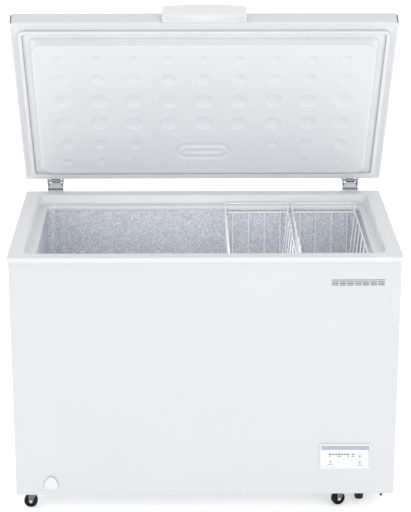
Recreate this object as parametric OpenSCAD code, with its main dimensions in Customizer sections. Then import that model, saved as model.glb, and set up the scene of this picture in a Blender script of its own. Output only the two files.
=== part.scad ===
// Chest freezer with a hinged lid, lift-out baskets, swivel casters and a sealed cooling circuit.
// Origin: on the floor, under the middle of the freezer with its lid propped open.
// +X is the right-hand end, +Y is the back and +Z is up.

/* [Cabinet] */
// Outside width of the steel cabinet
cabinet_w = 1116; // [1100:4:1160]
// Outside depth of the steel cabinet
cabinet_d = 660; // [648:4:680]
// Height of the cabinet's steel walls below the rim's lip
cabinet_h = 723; // [710:1:750]
// Height of the cabinet's bottom edge above the floor
ground_gap = 52; // [50:1:56]
// Thickness of the steel sheet
sheet = 0.8; // [0.7:0.1:1.0]
// How far the middle of the cabinet stands in front of the origin
setback = 18; // [12:1:24]

/* [Rim and liner] */
// Height of the rim's outer lip
rim_h = 16.5; // [14:0.5:20]
// Overhang of the rim and the lid past the cabinet
overhang = 4; // [3:0.5:5]
// Wall thickness of the moulded rim
rim_wall = 2.5; // [2:0.1:3]
// Half width of the throat at the top of the rim
throat_x = 516; // [508:1:520]
// Depth from the top of the rim to the ledge that carries the baskets
ledge_drop = 30; // [26:1:34]
// Width of that ledge
ledge_w = 25; // [22:1:26]
// Thickness of the aluminium liner
liner_wall = 1; // [0.8:0.1:1.2]
// Insulation under the liner
floor_foam = 60; // [50:1:70]

/* [Compressor compartment] */
// Width of the compartment inside the right-hand end
bay_w = 238; // [230:1:250]
// Height of the compartment above the cabinet's bottom edge
bay_h = 215; // [210:1:230]

/* [Lid] */
// Thickness of the lid without its inner plateau
lid_t = 47.7; // [44:0.1:52]
// Gap between the rim and the closed lid, which the gasket fills
lid_gap = 7; // [6:0.5:8]
// Height of the plateau on the lid's inner face
plateau_h = 28; // [24:1:29]
// Angle at which the lid is shown, 0 being closed
lid_angle = 58.1; // [0:0.1:80]

/* [Handle] */
// Width of the lid handle
handle_w = 243; // [200:1:280]
// How far the handle stands out at its ends
handle_out = 26; // [22:1:28]
// How much further it stands out in the middle
handle_bow = 6; // [3:1:8]

/* [Baskets] */
// Depth of the baskets below the ledge
basket_h = 212; // [150:1:230]
// Radius of the fine basket wire
wire_r = 1.6; // [1.4:0.1:1.8]
// Radius of the basket's frame wire
frame_r = 2.5; // [2.3:0.1:2.6]

/* [Casters] */
// Radius of a caster wheel
wheel_r = 20; // [19:0.5:21]
// Width of a caster wheel
wheel_w = 17; // [14:0.5:18]
// Distance from a caster's kingpin to its axle
trail = 14; // [12:0.5:15]

/* [Controls] */
// Width of the control panel's bezel
panel_w = 151; // [148:1:154]
// Height of the control panel's bezel
panel_h = 82; // [80:1:84]
// Travel of the two buttons
press = 1; // [0.8:0.1:1.2]

/* [Hidden] */
$fn = 48;

// Cabinet planes
side_x = cabinet_w / 2;
front_y = -cabinet_d / 2 - setback;
rear_y = cabinet_d / 2 - setback;
base_z = ground_gap;
rim_z0 = ground_gap + cabinet_h;
rim_z1 = rim_z0 + rim_h;
plate_z = rim_z1 - rim_wall;
shell_r = 6;
hem = 8;
floor_z = base_z + sheet;
panel_y = rear_y - 2 * sheet;
back_x = side_x - shell_r;

// Throat, ledge and liner
throat_front = front_y + 38;
throat_rear = rear_y - 40;
throat_r = 28;
ledge_z = rim_z1 - ledge_drop;
skirt_z = ledge_z - rim_wall - 12;
skirt_x = throat_x - ledge_w;
skirt_front = throat_front + 24;
skirt_rear = throat_rear - 23;
liner_x = skirt_x + rim_wall;
liner_front = skirt_front - rim_wall;
liner_rear = skirt_rear + rim_wall;
liner_r = throat_r - 2;
liner_top = skirt_z + 6;
liner_floor = base_z + floor_foam + liner_wall;

// Compressor compartment and the step that it makes inside the liner
bay_x = side_x - bay_w;
bay_z = base_z + bay_h;
step_x = bay_x - 70;
step_z = bay_z + 61;

// Tubes of the cooling circuit
tube_r = 3;
groove = 2 * tube_r + 2;
coil_bend = 20;
riser_bend = 8;
coil_gap = 30;
coil_x = 400;
coil_turns = 6;
coil_pitch = 58;
coil_z = 690;
evap_x = liner_x + liner_wall + tube_r + 0.3;
evap_front = liner_front - liner_wall - tube_r - 0.3;
evap_rear = liner_rear + liner_wall + tube_r + 0.3;
cond_x = side_x - sheet - tube_r - 0.3;
cond_front = front_y + sheet + tube_r + 0.3;
cond_rear = panel_y - tube_r - 0.3;

// Compressor
comp_x = 440;
comp_y = 150;
comp_r = 72;
comp_z = base_z + 22;
comp_h = 150;
comp_foot = 66;
stub_side = 40;
stub_out = 86;
stub_z = comp_z + 60;
bolt_r = 3;
line_bend = 12;
coil_end_z = bay_z - 12;
drier_x = coil_x - coil_gap;
drier_y = cond_rear - 2 * riser_bend;
drier_z = comp_z + 40;

// Control panel and drain
panel_x = 411.5;
panel_z = base_z + 120;
panel_half = panel_w / 2;
panel_rise = panel_h / 2;
board_y = front_y + 8;
button_r = 7;
button_x = panel_x + 43;
set_z = panel_z + 2.5;
boost_z = panel_z - 19;
lamp_z = panel_z + 8;
lamp_pitch = 9.05;
drain_x = -454;
drain_z = base_z + 37;
drain_y = front_y + 120;
drain_r = 9;
drain_bend = 13;
spout_r = 7;

// Hinges and lid
pivot_y = rear_y + 31.8;
pivot_z = rim_z1 + 25.9;
hinge_x = 470;
hinge_w = 49;
cheek = 2;
pin_r = 4;
pin_clear = 0.05;
HINGE_SCREW_Z = [rim_z0 - 115, rim_z0 - 20];
lid_x = side_x + overhang;
lid_front = front_y - overhang - 0.5;
lid_rear = rear_y + overhang;
lid_z0 = rim_z1 + lid_gap;
lid_z1 = lid_z0 + lid_t;
lid_r = 12;
frame_h = 9.2;
flange_x = lid_x - 31;
flange_front = lid_front + 38;
flange_rear = lid_rear - 28;
plateau_x = lid_x - 52;
plateau_front = lid_front + 55;
plateau_rear = lid_rear - 50;
plateau_r = 28;
plateau_wall = 1.5;
leaf_y = lid_rear;

// Baskets
basket_1 = [66, 270];
basket_2 = [278.7, 482];
basket_front = skirt_front + 6;
basket_rear = skirt_rear - 6;
basket_floor = ledge_z - basket_h;
basket_bend = 16;
rail_z = ledge_z - 20;
long_wires = 4;
long_pitch = 50;
cross_wires = 7;
cross_pitch = 80;

// Casters: kingpin place and the direction of its wheel
CASTERS = [[-504, front_y + 30, 0], [410, front_y + 42, 20],
    [-500, rear_y - 44, 35], [500, rear_y - 44, 150]];
fork_gap = 1;
fork_t = 1.5;
crown_z = 43;
foot_xy = [463.5, front_y + 78];
foot_r = 12.5;
foot_top_r = 20.5;
TRAY_BOLTS = [[523, front_y + 18], [528, front_y + 118]];

// A rounded rectangle from x0 to x1 and y0 to y1
module rounded_rect(x0, x1, y0, y1, r) {
    translate([x0 + r, y0]) square([x1 - x0 - 2 * r, y1 - y0]);
    translate([x0, y0 + r]) square([x1 - x0, y1 - y0 - 2 * r]);
    for (x = [x0 + r, x1 - r], y = [y0 + r, y1 - r]) translate([x, y]) circle(r);
}

// A rounded slab, symmetric about X = 0
module slab(x, y0, y1, z0, z1, r) {
    translate([0, 0, z0]) linear_extrude(z1 - z0) rounded_rect(-x, x, y0, y1, r);
}

// A rounded ring, symmetric about X = 0, with a wall of the given width inside its outline
module ring(x, y0, y1, z0, z1, r, wall) {
    translate([0, 0, z0]) linear_extrude(z1 - z0) difference() {
        rounded_rect(-x, x, y0, y1, r);
        rounded_rect(-x + wall, x - wall, y0 + wall, y1 - wall, max(r - wall, 1));
    }
}

// A box between two corners
module box(a, b) {
    translate(a) cube(b - a);
}

// Straight tubes along each axis
module tube_x(x0, x1, y, z, r) {
    translate([x0, y, z]) rotate([0, 90, 0]) cylinder(r = r, h = x1 - x0);
}
module tube_y(x, y0, y1, z, r) {
    translate([x, y1, z]) rotate([90, 0, 0]) cylinder(r = r, h = y1 - y0);
}
module tube_z(x, y, z0, z1, r) {
    translate([x, y, z0]) cylinder(r = r, h = z1 - z0);
}

// A quarter bend, turned to start at the given angle in its own plane
module bend(bend_r, r, start) {
    rotate([0, 0, start]) rotate_extrude(angle = 90) translate([bend_r, 0]) circle(r);
}
module bend_xz(x, y, z, bend_r, r, start) {
    translate([x, y, z]) rotate([90, 0, 0]) bend(bend_r, r, start);
}
module bend_yz(x, y, z, bend_r, r, start) {
    translate([x, y, z]) rotate([90, 0, 90]) bend(bend_r, r, start);
}

// The space inside the liner, grown on every side; the step leaves room for the compressor
module cavity(grow, top) {
    difference() {
        slab(liner_x + grow, liner_front - grow, liner_rear + grow, liner_floor - grow, top,
            liner_r + grow);
        box([step_x + grow, liner_front - 9, liner_floor - 9],
            [liner_x + 9, liner_rear + 9, step_z - grow]);
    }
}

// One turn of a wrapped coil, open at the back round the coil's risers
module coil_turn(x, y0, y1, z) {
    b = coil_bend;
    inner = coil_gap + riser_bend;
    tube_x(-x + b, x - b, y0, z, tube_r);
    for (s = [-1, 1]) tube_y(s * x, y0 + b, y1 - b, z, tube_r);
    tube_x(-x + b, coil_x - inner, y1, z, tube_r);
    tube_x(coil_x + inner, x - b, y1, z, tube_r);
    translate([x - b, y1 - b, z]) bend(b, tube_r, 0);
    translate([b - x, y1 - b, z]) bend(b, tube_r, 90);
    translate([b - x, y0 + b, z]) bend(b, tube_r, 180);
    translate([x - b, y0 + b, z]) bend(b, tube_r, 270);
}

// A riser that joins two turns of a coil on one side of the gap
module coil_riser(side, y, z_up, z_low) {
    b = riser_bend;
    x = coil_x + side * coil_gap;
    bend_xz(x + side * b, y, z_up - b, b, tube_r, side > 0 ? 90 : 0);
    tube_z(x, y, z_low + b, z_up - b, tube_r);
    bend_xz(x + side * b, y, z_low + b, b, tube_r, side > 0 ? 180 : 270);
}

// A serpentine coil with its two ends led down into the compressor compartment
module coil(x, y0, y1) {
    b = riser_bend;
    low = coil_z - (coil_turns - 1) * coil_pitch;
    for (k = [0 : coil_turns - 1]) coil_turn(x, y0, y1, coil_z - k * coil_pitch);
    for (k = [0 : coil_turns - 2])
        coil_riser(k % 2 == 0 ? 1 : -1, y1, coil_z - k * coil_pitch,
            coil_z - (k + 1) * coil_pitch);
    // upper end: on to the middle of the gap, then down
    tube_x(coil_x - coil_gap - b, coil_x - b, y1, coil_z, tube_r);
    bend_xz(coil_x - b, y1, coil_z - b, b, tube_r, 0);
    tube_z(coil_x, y1, coil_end_z, coil_z - b, tube_r);
    // lower end: down beside it
    bend_xz(coil_x - coil_gap - b, y1, low - b, b, tube_r, 0);
    tube_z(coil_x - coil_gap, y1, coil_end_z, low - b, tube_r);
}

// The channels that a coil lies in
module coil_channels(x, y0, y1) {
    w = groove / 2;
    for (k = [0 : coil_turns - 1])
        ring(x + w, y0 - w, y1 + w, coil_z - k * coil_pitch - w, coil_z - k * coil_pitch + w,
            coil_bend + w, groove);
    riser = coil_gap + w + 2;
    box([coil_x - riser, y1 - w, bay_z - 20], [coil_x + riser, y1 + w, coil_z + w]);
}

// ---- cabinet ----

module outer_wrapper() color("whitesmoke") difference() {
    union() {
        ring(side_x, front_y, rear_y, base_z, plate_z, shell_r, sheet);
        ring(side_x, front_y, rear_y, base_z, floor_z, shell_r, hem);
    }
    box([-back_x + 14, rear_y - 30, base_z - 1], [back_x - 14, rear_y + 1, plate_z + 1]);
    panel_box(6, 5.5, front_y - 1, front_y + 10);
    tube_y(drain_x, front_y - 1, front_y + 10, drain_z, drain_r + 3);
    box([side_x - 10, -110, base_z + 40], [side_x + 1, 150, base_z + 180]);
}

module rear_panel() color("gainsboro") difference() {
    box([-back_x, panel_y, floor_z + sheet], [back_x, panel_y + sheet, plate_z]);
    box([bay_x + 22, panel_y - 1, base_z + 20], [back_x - 22, rear_y, bay_z - 20]);
    for (h = [-hinge_x, hinge_x], x = [-12, 12], z = HINGE_SCREW_Z)
        tube_y(h + x, panel_y - 1, panel_y + 2, z, 2.2);
}

module base_panel() color("gainsboro")
    box([-back_x, front_y + 6, floor_z], [bay_x - 4, panel_y, floor_z + sheet]);

module compressor_tray() color("silver") difference() {
    union() {
        box([bay_x - 2, front_y + 9, floor_z], [back_x - 1, panel_y, floor_z + 1.5]);
        box([bay_x - 2, front_y + 9, floor_z], [bay_x - 0.5, panel_y, floor_z + 22]);
    }
    for (x = [-comp_foot, comp_foot], y = [-comp_foot, comp_foot])
        tube_z(comp_x + x, comp_y + y, base_z, base_z + 5, bolt_r + 0.2);
    for (p = TRAY_BOLTS) tube_z(p[0], p[1], base_z, base_z + 5, bolt_r + 0.2);
}

module bay_shroud() color("gainsboro") difference() {
    union() {
        box([bay_x, front_y + 6, floor_z + 1.5], [bay_x + sheet, panel_y, bay_z]);
        box([bay_x, front_y + 6, bay_z - sheet], [side_x - sheet, panel_y, bay_z]);
    }
    for (x = [coil_x, coil_x - coil_gap], y = [evap_rear, cond_rear])
        tube_z(x, y, bay_z - 5, bay_z + 5, tube_r + 0.8);
}

module inner_liner() color("lightsteelblue") difference() {
    cavity(liner_wall, liner_top);
    cavity(0, liner_top + 5);
    tube_z(drain_x, drain_y, liner_floor - 5, liner_floor + 5, drain_r + 1.2);
}

module cabinet_foam() color("khaki") difference() {
    slab(side_x - sheet, front_y + sheet, panel_y, floor_z + sheet, plate_z, shell_r - sheet);
    cavity(liner_wall, plate_z + 5);
    slab(throat_x + rim_wall, throat_front - rim_wall, throat_rear + rim_wall,
        ledge_z - rim_wall, plate_z + 5, throat_r + rim_wall);
    box([bay_x, front_y - 1, base_z - 1], [side_x + 1, rear_y + 1, bay_z]);
    box([bay_x - 4, front_y - 1, base_z - 1], [bay_x + 1, rear_y + 1, floor_z + 22]);
    coil_channels(evap_x, evap_front, evap_rear);
    coil_channels(cond_x, cond_front, cond_rear);
    tube_z(drain_x, drain_y, drain_z - drain_r - 4, liner_floor, drain_r + 3.2);
    tube_y(drain_x, front_y - 1, drain_y + 6, drain_z, drain_r + 3.2);
    for (h = [-hinge_x, hinge_x], x = [-12, 12], z = HINGE_SCREW_Z)
        tube_y(h + x, rear_y - 14, rear_y, z, 2.2);
}

// Moulded rim: outer lip, flat top, throat wall, basket ledge and the skirt over the liner
module rim_frame() color("white") union() {
    ring(side_x + overhang, front_y - overhang, rear_y + overhang, rim_z0, rim_z1, 10, rim_wall);
    translate([0, 0, plate_z]) linear_extrude(rim_wall) difference() {
        rounded_rect(-side_x - overhang, side_x + overhang, front_y - overhang,
            rear_y + overhang, 10);
        rounded_rect(-throat_x, throat_x, throat_front, throat_rear, throat_r);
    }
    ring(throat_x + rim_wall, throat_front - rim_wall, throat_rear + rim_wall,
        ledge_z - rim_wall, plate_z, throat_r + rim_wall, rim_wall);
    translate([0, 0, ledge_z - rim_wall]) linear_extrude(rim_wall) difference() {
        rounded_rect(-throat_x - 1, throat_x + 1, throat_front - 1, throat_rear + 1, throat_r + 1);
        rounded_rect(-skirt_x, skirt_x, skirt_front, skirt_rear, liner_r - rim_wall);
    }
    ring(liner_x, liner_front, liner_rear, skirt_z, ledge_z - rim_wall, liner_r, rim_wall);
}

// ---- cooling circuit ----

module condenser_coil() color("peru") coil(cond_x, cond_front, cond_rear);

module evaporator_coil() color("darkgoldenrod") coil(evap_x, evap_front, evap_rear);

// Sealed compressor can on its foot plate, with its suction and discharge stubs
module compressor() color("dimgray") difference() {
    union() {
        translate([comp_x, comp_y, comp_z]) intersection() {
            cylinder(r = comp_r, h = comp_h);
            translate([0, 0, comp_h / 2 + 12]) sphere(r = 92, $fn = 96);
            translate([0, 0, comp_h / 2 - 12]) sphere(r = 92, $fn = 96);
        }
        box([comp_x - comp_foot - 14, comp_y - comp_foot - 10, comp_z],
            [comp_x + comp_foot + 14, comp_y + comp_foot + 10, comp_z + 2.5]);
        for (s = [-stub_side, stub_side])
            tube_y(comp_x + s, comp_y + stub_side, comp_y + stub_out, stub_z, tube_r);
    }
    for (x = [-comp_foot, comp_foot], y = [-comp_foot, comp_foot])
        tube_z(comp_x + x, comp_y + y, comp_z - 1, comp_z + 4, 5);
}

module terminal_cover() color("black")
    box([comp_x - 30, comp_y - comp_r - 24, comp_z + 40],
        [comp_x + 30, comp_y - comp_r - 0.2, comp_z + 95]);

// Rubber bushes that carry the compressor's foot plate over the tray
module compressor_grommets() color("black")
    for (x = [-comp_foot, comp_foot], y = [-comp_foot, comp_foot])
        translate([comp_x + x, comp_y + y, 0]) difference() {
            union() {
                translate([0, 0, floor_z + 1.5]) cylinder(r = 12, h = comp_z - floor_z - 1.5);
                translate([0, 0, comp_z]) cylinder(r = 4.8, h = 2.5);
                translate([0, 0, comp_z + 2.5]) cylinder(r = 9, h = 3);
            }
            translate([0, 0, floor_z]) cylinder(r = bolt_r + 0.1, h = 60);
        }

// One bolt pointing up from under the tray: a hexagon at the tray, and a lower head if it is long
module tray_bolt(x, y, length, drop = 0) {
    translate([x, y, floor_z - 4]) cylinder(r = 5, h = 4, $fn = 6);
    tube_z(x, y, floor_z - 0.5 - drop, floor_z + length, bolt_r);
    if (drop > 0) translate([x, y, floor_z - 4 - drop]) cylinder(r = 4, h = 4, $fn = 6);
}

module tray_bolts() color("slategray") {
    for (x = [-comp_foot, comp_foot], y = [-comp_foot, comp_foot])
        tray_bolt(comp_x + x, comp_y + y, 34);
    tray_bolt(TRAY_BOLTS[0][0], TRAY_BOLTS[0][1], 10, 12);
    tray_bolt(TRAY_BOLTS[1][0], TRAY_BOLTS[1][1], 10);
}

// Drier: a fat copper can between the condenser and the capillary
module filter_drier() color("peru") {
    top_z = coil_end_z - 2 * riser_bend;
    tube_z(drier_x, drier_y, drier_z, top_z, tube_r);
    tube_z(drier_x, drier_y, drier_z + 12, top_z - 10, 9);
}

// Copper lines between the compressor, the coils and the drier
module refrigerant_lines() color("peru") {
    b = line_bend;
    stub = comp_y + stub_out;
    suction_x = comp_x + stub_side;
    // discharge: from the compressor to the condenser's upper end
    tube_y(coil_x, stub, cond_rear - b, stub_z, tube_r);
    bend_yz(coil_x, cond_rear - b, stub_z + b, b, tube_r, 270);
    tube_z(coil_x, cond_rear, stub_z + b, coil_end_z, tube_r);
    // suction: from the evaporator's upper end across and down to the compressor
    bend_xz(coil_x + b, evap_rear, coil_end_z, b, tube_r, 180);
    tube_x(coil_x + b, suction_x - b, evap_rear, coil_end_z - b, tube_r);
    bend_xz(suction_x - b, evap_rear, coil_end_z - 2 * b, b, tube_r, 0);
    tube_z(suction_x, evap_rear, stub_z + b, coil_end_z - 2 * b, tube_r);
    bend_yz(suction_x, evap_rear - b, stub_z + b, b, tube_r, 270);
    tube_y(suction_x, stub, evap_rear - b, stub_z, tube_r);
    // liquid: from the condenser's lower end to the drier
    bend_yz(drier_x, cond_rear - riser_bend, coil_end_z, riser_bend, tube_r, 270);
    bend_yz(drier_x, cond_rear - riser_bend, coil_end_z - 2 * riser_bend, riser_bend, tube_r, 90);
    // capillary: from the drier round and up to the evaporator's lower end
    turn_r = (drier_y - evap_rear) / 2;
    for (start = [180, 270]) bend_yz(drier_x, drier_y - turn_r, drier_z, turn_r, tube_r, start);
    tube_z(drier_x, evap_rear, drier_z, coil_end_z, tube_r);
}

module side_grille() color("white") difference() {
    union() {
        box([side_x, -124, base_z + 26], [side_x + 2, 164, base_z + 194]);
        box([side_x - sheet, -109, base_z + 41], [side_x, 149, base_z + 179]);
    }
    for (y = [-98 : 16 : 142])
        box([side_x - 9, y, base_z + 50], [side_x + 9, y + 8, base_z + 170]);
}

module rear_cover() color("gainsboro") difference() {
    box([bay_x + 10, rear_y - sheet, base_z + 8], [back_x - 16, rear_y, bay_z - 8]);
    for (z = [base_z + 40 : 14 : bay_z - 50], x = [bay_x + 70, bay_x + 130])
        box([x, rear_y - 9, z], [x + 45, rear_y + 9, z + 5]);
    tube_y(bay_x + 34, rear_y - 9, rear_y + 9, base_z + 60, 8.2);
}

module cord_gland() color("black") translate([bay_x + 34, rear_y, base_z + 60])
    rotate([-90, 0, 0]) difference() {
        union() {
            translate([0, 0, -6]) cylinder(r = 8, h = 7);
            cylinder(r = 13, h = 3);
            translate([0, 0, 3]) cylinder(r1 = 9, r2 = 6, h = 18);
        }
        translate([0, 0, -8]) cylinder(r = 4, h = 40);
    }

// ---- control panel ----

// A box inside the panel's outline by the two margins, between two planes
module panel_box(side, end, y0, y1) {
    box([panel_x - panel_half + side, y0, panel_z - panel_rise + end],
        [panel_x + panel_half - side, y1, panel_z + panel_rise - end]);
}

module panel_bezel() color("white") difference() {
    union() {
        panel_box(0, 0, front_y - 3, front_y);
        panel_box(7, 6.5, front_y, front_y + 14);
    }
    panel_box(9, 8.5, front_y - 9, front_y + 15);
    panel_box(3, 3.5, front_y - 4, front_y - 0.8);
}

module panel_fascia() color("ghostwhite") difference() {
    panel_box(3.3, 3.8, front_y - 2.8, front_y - 0.8);
    for (z = [set_z, boost_z])
        tube_y(button_x, front_y - 5, front_y + 5, z, button_r + 0.4);
}

module control_board() color("darkgreen")
    panel_box(11, 11.5, board_y, board_y + 1.6);

// Seven lamps in a row and one beside them on the board, reaching forward to the fascia
module indicator_lamps() color("lightgreen")
    for (k = [0 : 7])
        tube_y(panel_x - 45.5 + (k < 7 ? k * lamp_pitch : 67.5), front_y - 0.7, board_y,
            lamp_z, 2);

module push_button(z) {
    tube_y(button_x, front_y - 3.6, front_y + 0.5, z, button_r);
    tube_y(button_x, front_y + 0.4, board_y - press - 1.5, z, 3);
}

module set_button() color("white") push_button(set_z);

module boost_button() color("white") push_button(boost_z);

// ---- drain ----

// The run of the drain: from the front back to a quarter bend, and up to the liner's floor
module drain_run(r) {
    tube_y(drain_x, front_y + sheet, drain_y - drain_bend, drain_z, r);
    bend_yz(drain_x, drain_y - drain_bend, drain_z + drain_bend, drain_bend, r, 270);
    tube_z(drain_x, drain_y, drain_z + drain_bend, liner_floor - liner_wall, r);
}

module drain_tube() color("white") difference() {
    drain_run(drain_r + 2);
    drain_run(drain_r);
}

module drain_spout() color("white") difference() {
    tube_y(drain_x, front_y - 2, front_y + 60, drain_z, spout_r);
    tube_y(drain_x, front_y - 9, front_y + 70, drain_z, spout_r - 1.5);
}

// Cap of the spout: a rounded triangle that swings round the spout's own axis
module drain_cap() color("white") translate([drain_x, front_y - 2.3, drain_z])
    rotate([90, 0, 0]) {
        linear_extrude(2.7) union() {
            for (x = [-12, 12]) translate([x, -9]) circle(7);
            translate([0, -8]) circle(14);
            translate([0, 13]) circle(9);
            polygon([[-18.1, -5.6], [-7.9, 17.3], [7.9, 17.3], [18.1, -5.6], [11, -15], [-11, -15]]);
        }
        translate([0, 0, -10]) cylinder(r = spout_r - 1.8, h = 11);
    }

module drain_plug() color("whitesmoke") translate([drain_x, drain_y, liner_floor]) union() {
    translate([0, 0, 0.3]) cylinder(r = 16, h = 3);
    translate([0, 0, -14]) cylinder(r = drain_r - 0.4, h = 15);
    translate([-2, -8, 3]) cube([4, 16, 9]);
}

// ---- hinges ----

// Stands the lid's parts up at the lid's angle
module on_lid() {
    translate([0, pivot_y, pivot_z]) rotate([-lid_angle, 0, 0])
        translate([0, -pivot_y, -pivot_z]) children();
}

// Outline of one cheek of a hinge, in the plane across the hinge pin
module cheek_outline() {
    circle(13);
    translate([-27.3, -150]) square([40.3, 114]);
    translate([-10, -40]) square([23, 40]);
}

// Fixed half of a hinge: a channel on the cabinet's back with two cheeks round the pin
module hinge_base(x) {
    half = hinge_w / 2;
    web_y = lid_rear + 0.5;
    for (s = [x - half, x + half - cheek])
        translate([s, pivot_y, pivot_z]) rotate([90, 0, 90]) linear_extrude(cheek)
            difference() {
                cheek_outline();
                circle(pin_r);
            }
    difference() {
        union() {
            box([x - half, web_y, pivot_z - 150], [x + half, web_y + 3, pivot_z - 36]);
            box([x - half, rear_y - sheet, pivot_z - 172], [x + half, web_y + 3, rim_z0 - 4]);
        }
        for (s = [-12, 12], z = HINGE_SCREW_Z) tube_y(x + s, rear_y - 1, web_y + 9, z, 2.2);
    }
}

module hinge_base_left() color("silver") hinge_base(-hinge_x);

module hinge_base_right() color("silver") hinge_base(hinge_x);

module hinge_pins() color("lightgray")
    for (x = [-hinge_x, hinge_x]) {
        tube_x(x - hinge_w / 2 - 1, x + hinge_w / 2 + 1, pivot_y, pivot_z, pin_r);
        tube_x(x - hinge_w / 2 - 3, x - hinge_w / 2, pivot_y, pivot_z, 6);
        tube_x(x + hinge_w / 2, x + hinge_w / 2 + 3, pivot_y, pivot_z, 6);
    }

// Coil spring round each pin, drawn closed up as touching turns
module hinge_springs() color("silver")
    for (x = [-hinge_x, hinge_x])
        translate([x - 15, pivot_y, pivot_z]) rotate([0, 90, 0]) rotate_extrude()
            for (k = [0 : 10]) translate([6.4, 3 * k]) circle(1.7);

module hinge_base_screws() color("lightgray")
    for (h = [-hinge_x, hinge_x], x = [-12, 12], z = HINGE_SCREW_Z) {
        tube_y(h + x, rear_y - 12, lid_rear + 3.6, z, 2);
        tube_y(h + x, lid_rear + 3.5, lid_rear + 6.5, z, 4);
    }

// Moving half of a hinge: a plate on the lid's back with two ears round the pin
module hinge_leaf(x) on_lid() {
    ear = hinge_w / 2 - cheek - 0.5;
    difference() {
        union() {
            box([x - hinge_w / 2, leaf_y, lid_z0 + 10], [x + hinge_w / 2, leaf_y + 2, lid_z1 - 4]);
            for (s = [x - ear, x + ear - cheek])
                translate([s, pivot_y, pivot_z]) rotate([90, 0, 90]) linear_extrude(cheek)
                    difference() {
                        union() {
                            circle(9);
                            translate([-26.8, -3]) square([26, 12]);
                        }
                        circle(pin_r + pin_clear);
                    }
        }
        for (s = [-14, 0, 14]) tube_y(x + s, leaf_y - 1, leaf_y + 9, lid_z1 - 10, 2.2);
    }
}

module hinge_leaf_left() color("silver") hinge_leaf(-hinge_x);

module hinge_leaf_right() color("silver") hinge_leaf(hinge_x);

module hinge_leaf_screws() color("lightgray") on_lid()
    for (h = [-hinge_x, hinge_x], x = [-14, 0, 14]) {
        tube_y(h + x, leaf_y - 14, leaf_y + 2.1, lid_z1 - 10, 2);
        tube_y(h + x, leaf_y + 2, leaf_y + 4, lid_z1 - 10, 4);
    }

// ---- lid ----

module lid_skin() color("white") on_lid() difference() {
    slab(lid_x - 1, lid_front + 1, lid_rear, lid_z0 + frame_h, lid_z1, lid_r - 1);
    slab(lid_x - 1 - sheet, lid_front + 1 + sheet, lid_rear - sheet, lid_z0 + frame_h - 1,
        lid_z1 - sheet, lid_r - 1 - sheet);
    for (x = [-90, 90]) tube_y(x, lid_front - 2, lid_front + 9, lid_z0 + 26, 2.4);
    for (h = [-hinge_x, hinge_x], x = [-14, 0, 14])
        tube_y(h + x, lid_rear - 9, lid_rear + 9, lid_z1 - 10, 2.2);
}

module lid_frame() color("white") on_lid() translate([0, 0, lid_z0]) linear_extrude(frame_h)
    difference() {
        rounded_rect(-lid_x, lid_x, lid_front, lid_rear, lid_r);
        rounded_rect(-flange_x, flange_x, flange_front, flange_rear, 12);
    }

module lid_foam() color("khaki") on_lid() difference() {
    union() {
        slab(lid_x - 1 - sheet, lid_front + 1 + sheet, lid_rear - sheet, lid_z0 + frame_h,
            lid_z1 - sheet, lid_r - 1 - sheet);
        slab(flange_x, flange_front, flange_rear, lid_z0 + plateau_wall, lid_z0 + frame_h, 12);
        slab(plateau_x - plateau_wall, plateau_front + plateau_wall, plateau_rear - plateau_wall,
            lid_z0 - plateau_h + plateau_wall, lid_z0 + plateau_wall, plateau_r - plateau_wall);
    }
    for (x = [-90, 90]) tube_y(x, lid_front, lid_front + 24, lid_z0 + 26, 2.4);
    for (h = [-hinge_x, hinge_x], x = [-14, 0, 14])
        tube_y(h + x, lid_rear - 16, lid_rear, lid_z1 - 10, 2.2);
}

module lid_liner() color("white") on_lid() difference() {
    union() {
        slab(flange_x, flange_front, flange_rear, lid_z0, lid_z0 + plateau_wall, 12);
        slab(plateau_x, plateau_front, plateau_rear, lid_z0 - plateau_h, lid_z0, plateau_r);
    }
    slab(plateau_x - plateau_wall, plateau_front + plateau_wall, plateau_rear - plateau_wall,
        lid_z0 - plateau_h + plateau_wall, lid_z0 + 9, plateau_r - plateau_wall);
}

module lid_gasket() color("lightgray") on_lid()
    ring(lid_x - 21, lid_front + 28, lid_rear - 16, lid_z0 - lid_gap + 0.4, lid_z0, 16, 12);

// Bowed handle on the front of the lid, hollowed underneath for the fingers
module lid_handle() color("white") on_lid() difference() {
    bow = handle_out + handle_bow;
    bow_r = (pow(handle_w / 2, 2) + handle_bow * handle_bow) / (2 * handle_bow);
    intersection() {
        box([-handle_w / 2, lid_front - bow, lid_z0 + 2], [handle_w / 2, lid_front + 1, lid_z1]);
        translate([0, lid_front - bow + bow_r, lid_z0])
            cylinder(r = bow_r, h = lid_t, $fn = 720);
    }
    box([-handle_w, lid_front, lid_z0], [handle_w, lid_front + 2, lid_z0 + frame_h + 0.2]);
    tube_x(-handle_w / 2 + 12, handle_w / 2 - 12, lid_front - 10, lid_z0, 12);
    for (x = [-90, 90]) tube_y(x, lid_front - 14, lid_front + 9, lid_z0 + 26, 2.2);
}

module handle_screws() color("lightgray") on_lid()
    for (x = [-90, 90]) {
        tube_y(x, lid_front - 12, lid_front + 16, lid_z0 + 26, 2);
        tube_y(x, lid_front + 1.9, lid_front + 1.9 + 2, lid_z0 + 26, 2.3);
    }

// ---- baskets ----

// A U of wire across the basket's width, hanging from z
module u_wire_x(x0, x1, y, z, low, r) {
    b = basket_bend;
    for (x = [x0, x1]) tube_z(x, y, low + b, z, r);
    tube_x(x0 + b, x1 - b, y, low, r);
    bend_xz(x0 + b, y, low + b, b, r, 180);
    bend_xz(x1 - b, y, low + b, b, r, 270);
}

// A U of wire along the basket's length, hanging from z
module u_wire_y(x, y0, y1, z, low, r) {
    b = basket_bend;
    for (y = [y0, y1]) tube_z(x, y, low + b, z, r);
    tube_y(x, y0 + b, y1 - b, low, r);
    bend_yz(x, y0 + b, low + b, b, r, 180);
    bend_yz(x, y1 - b, low + b, b, r, 270);
}

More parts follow.
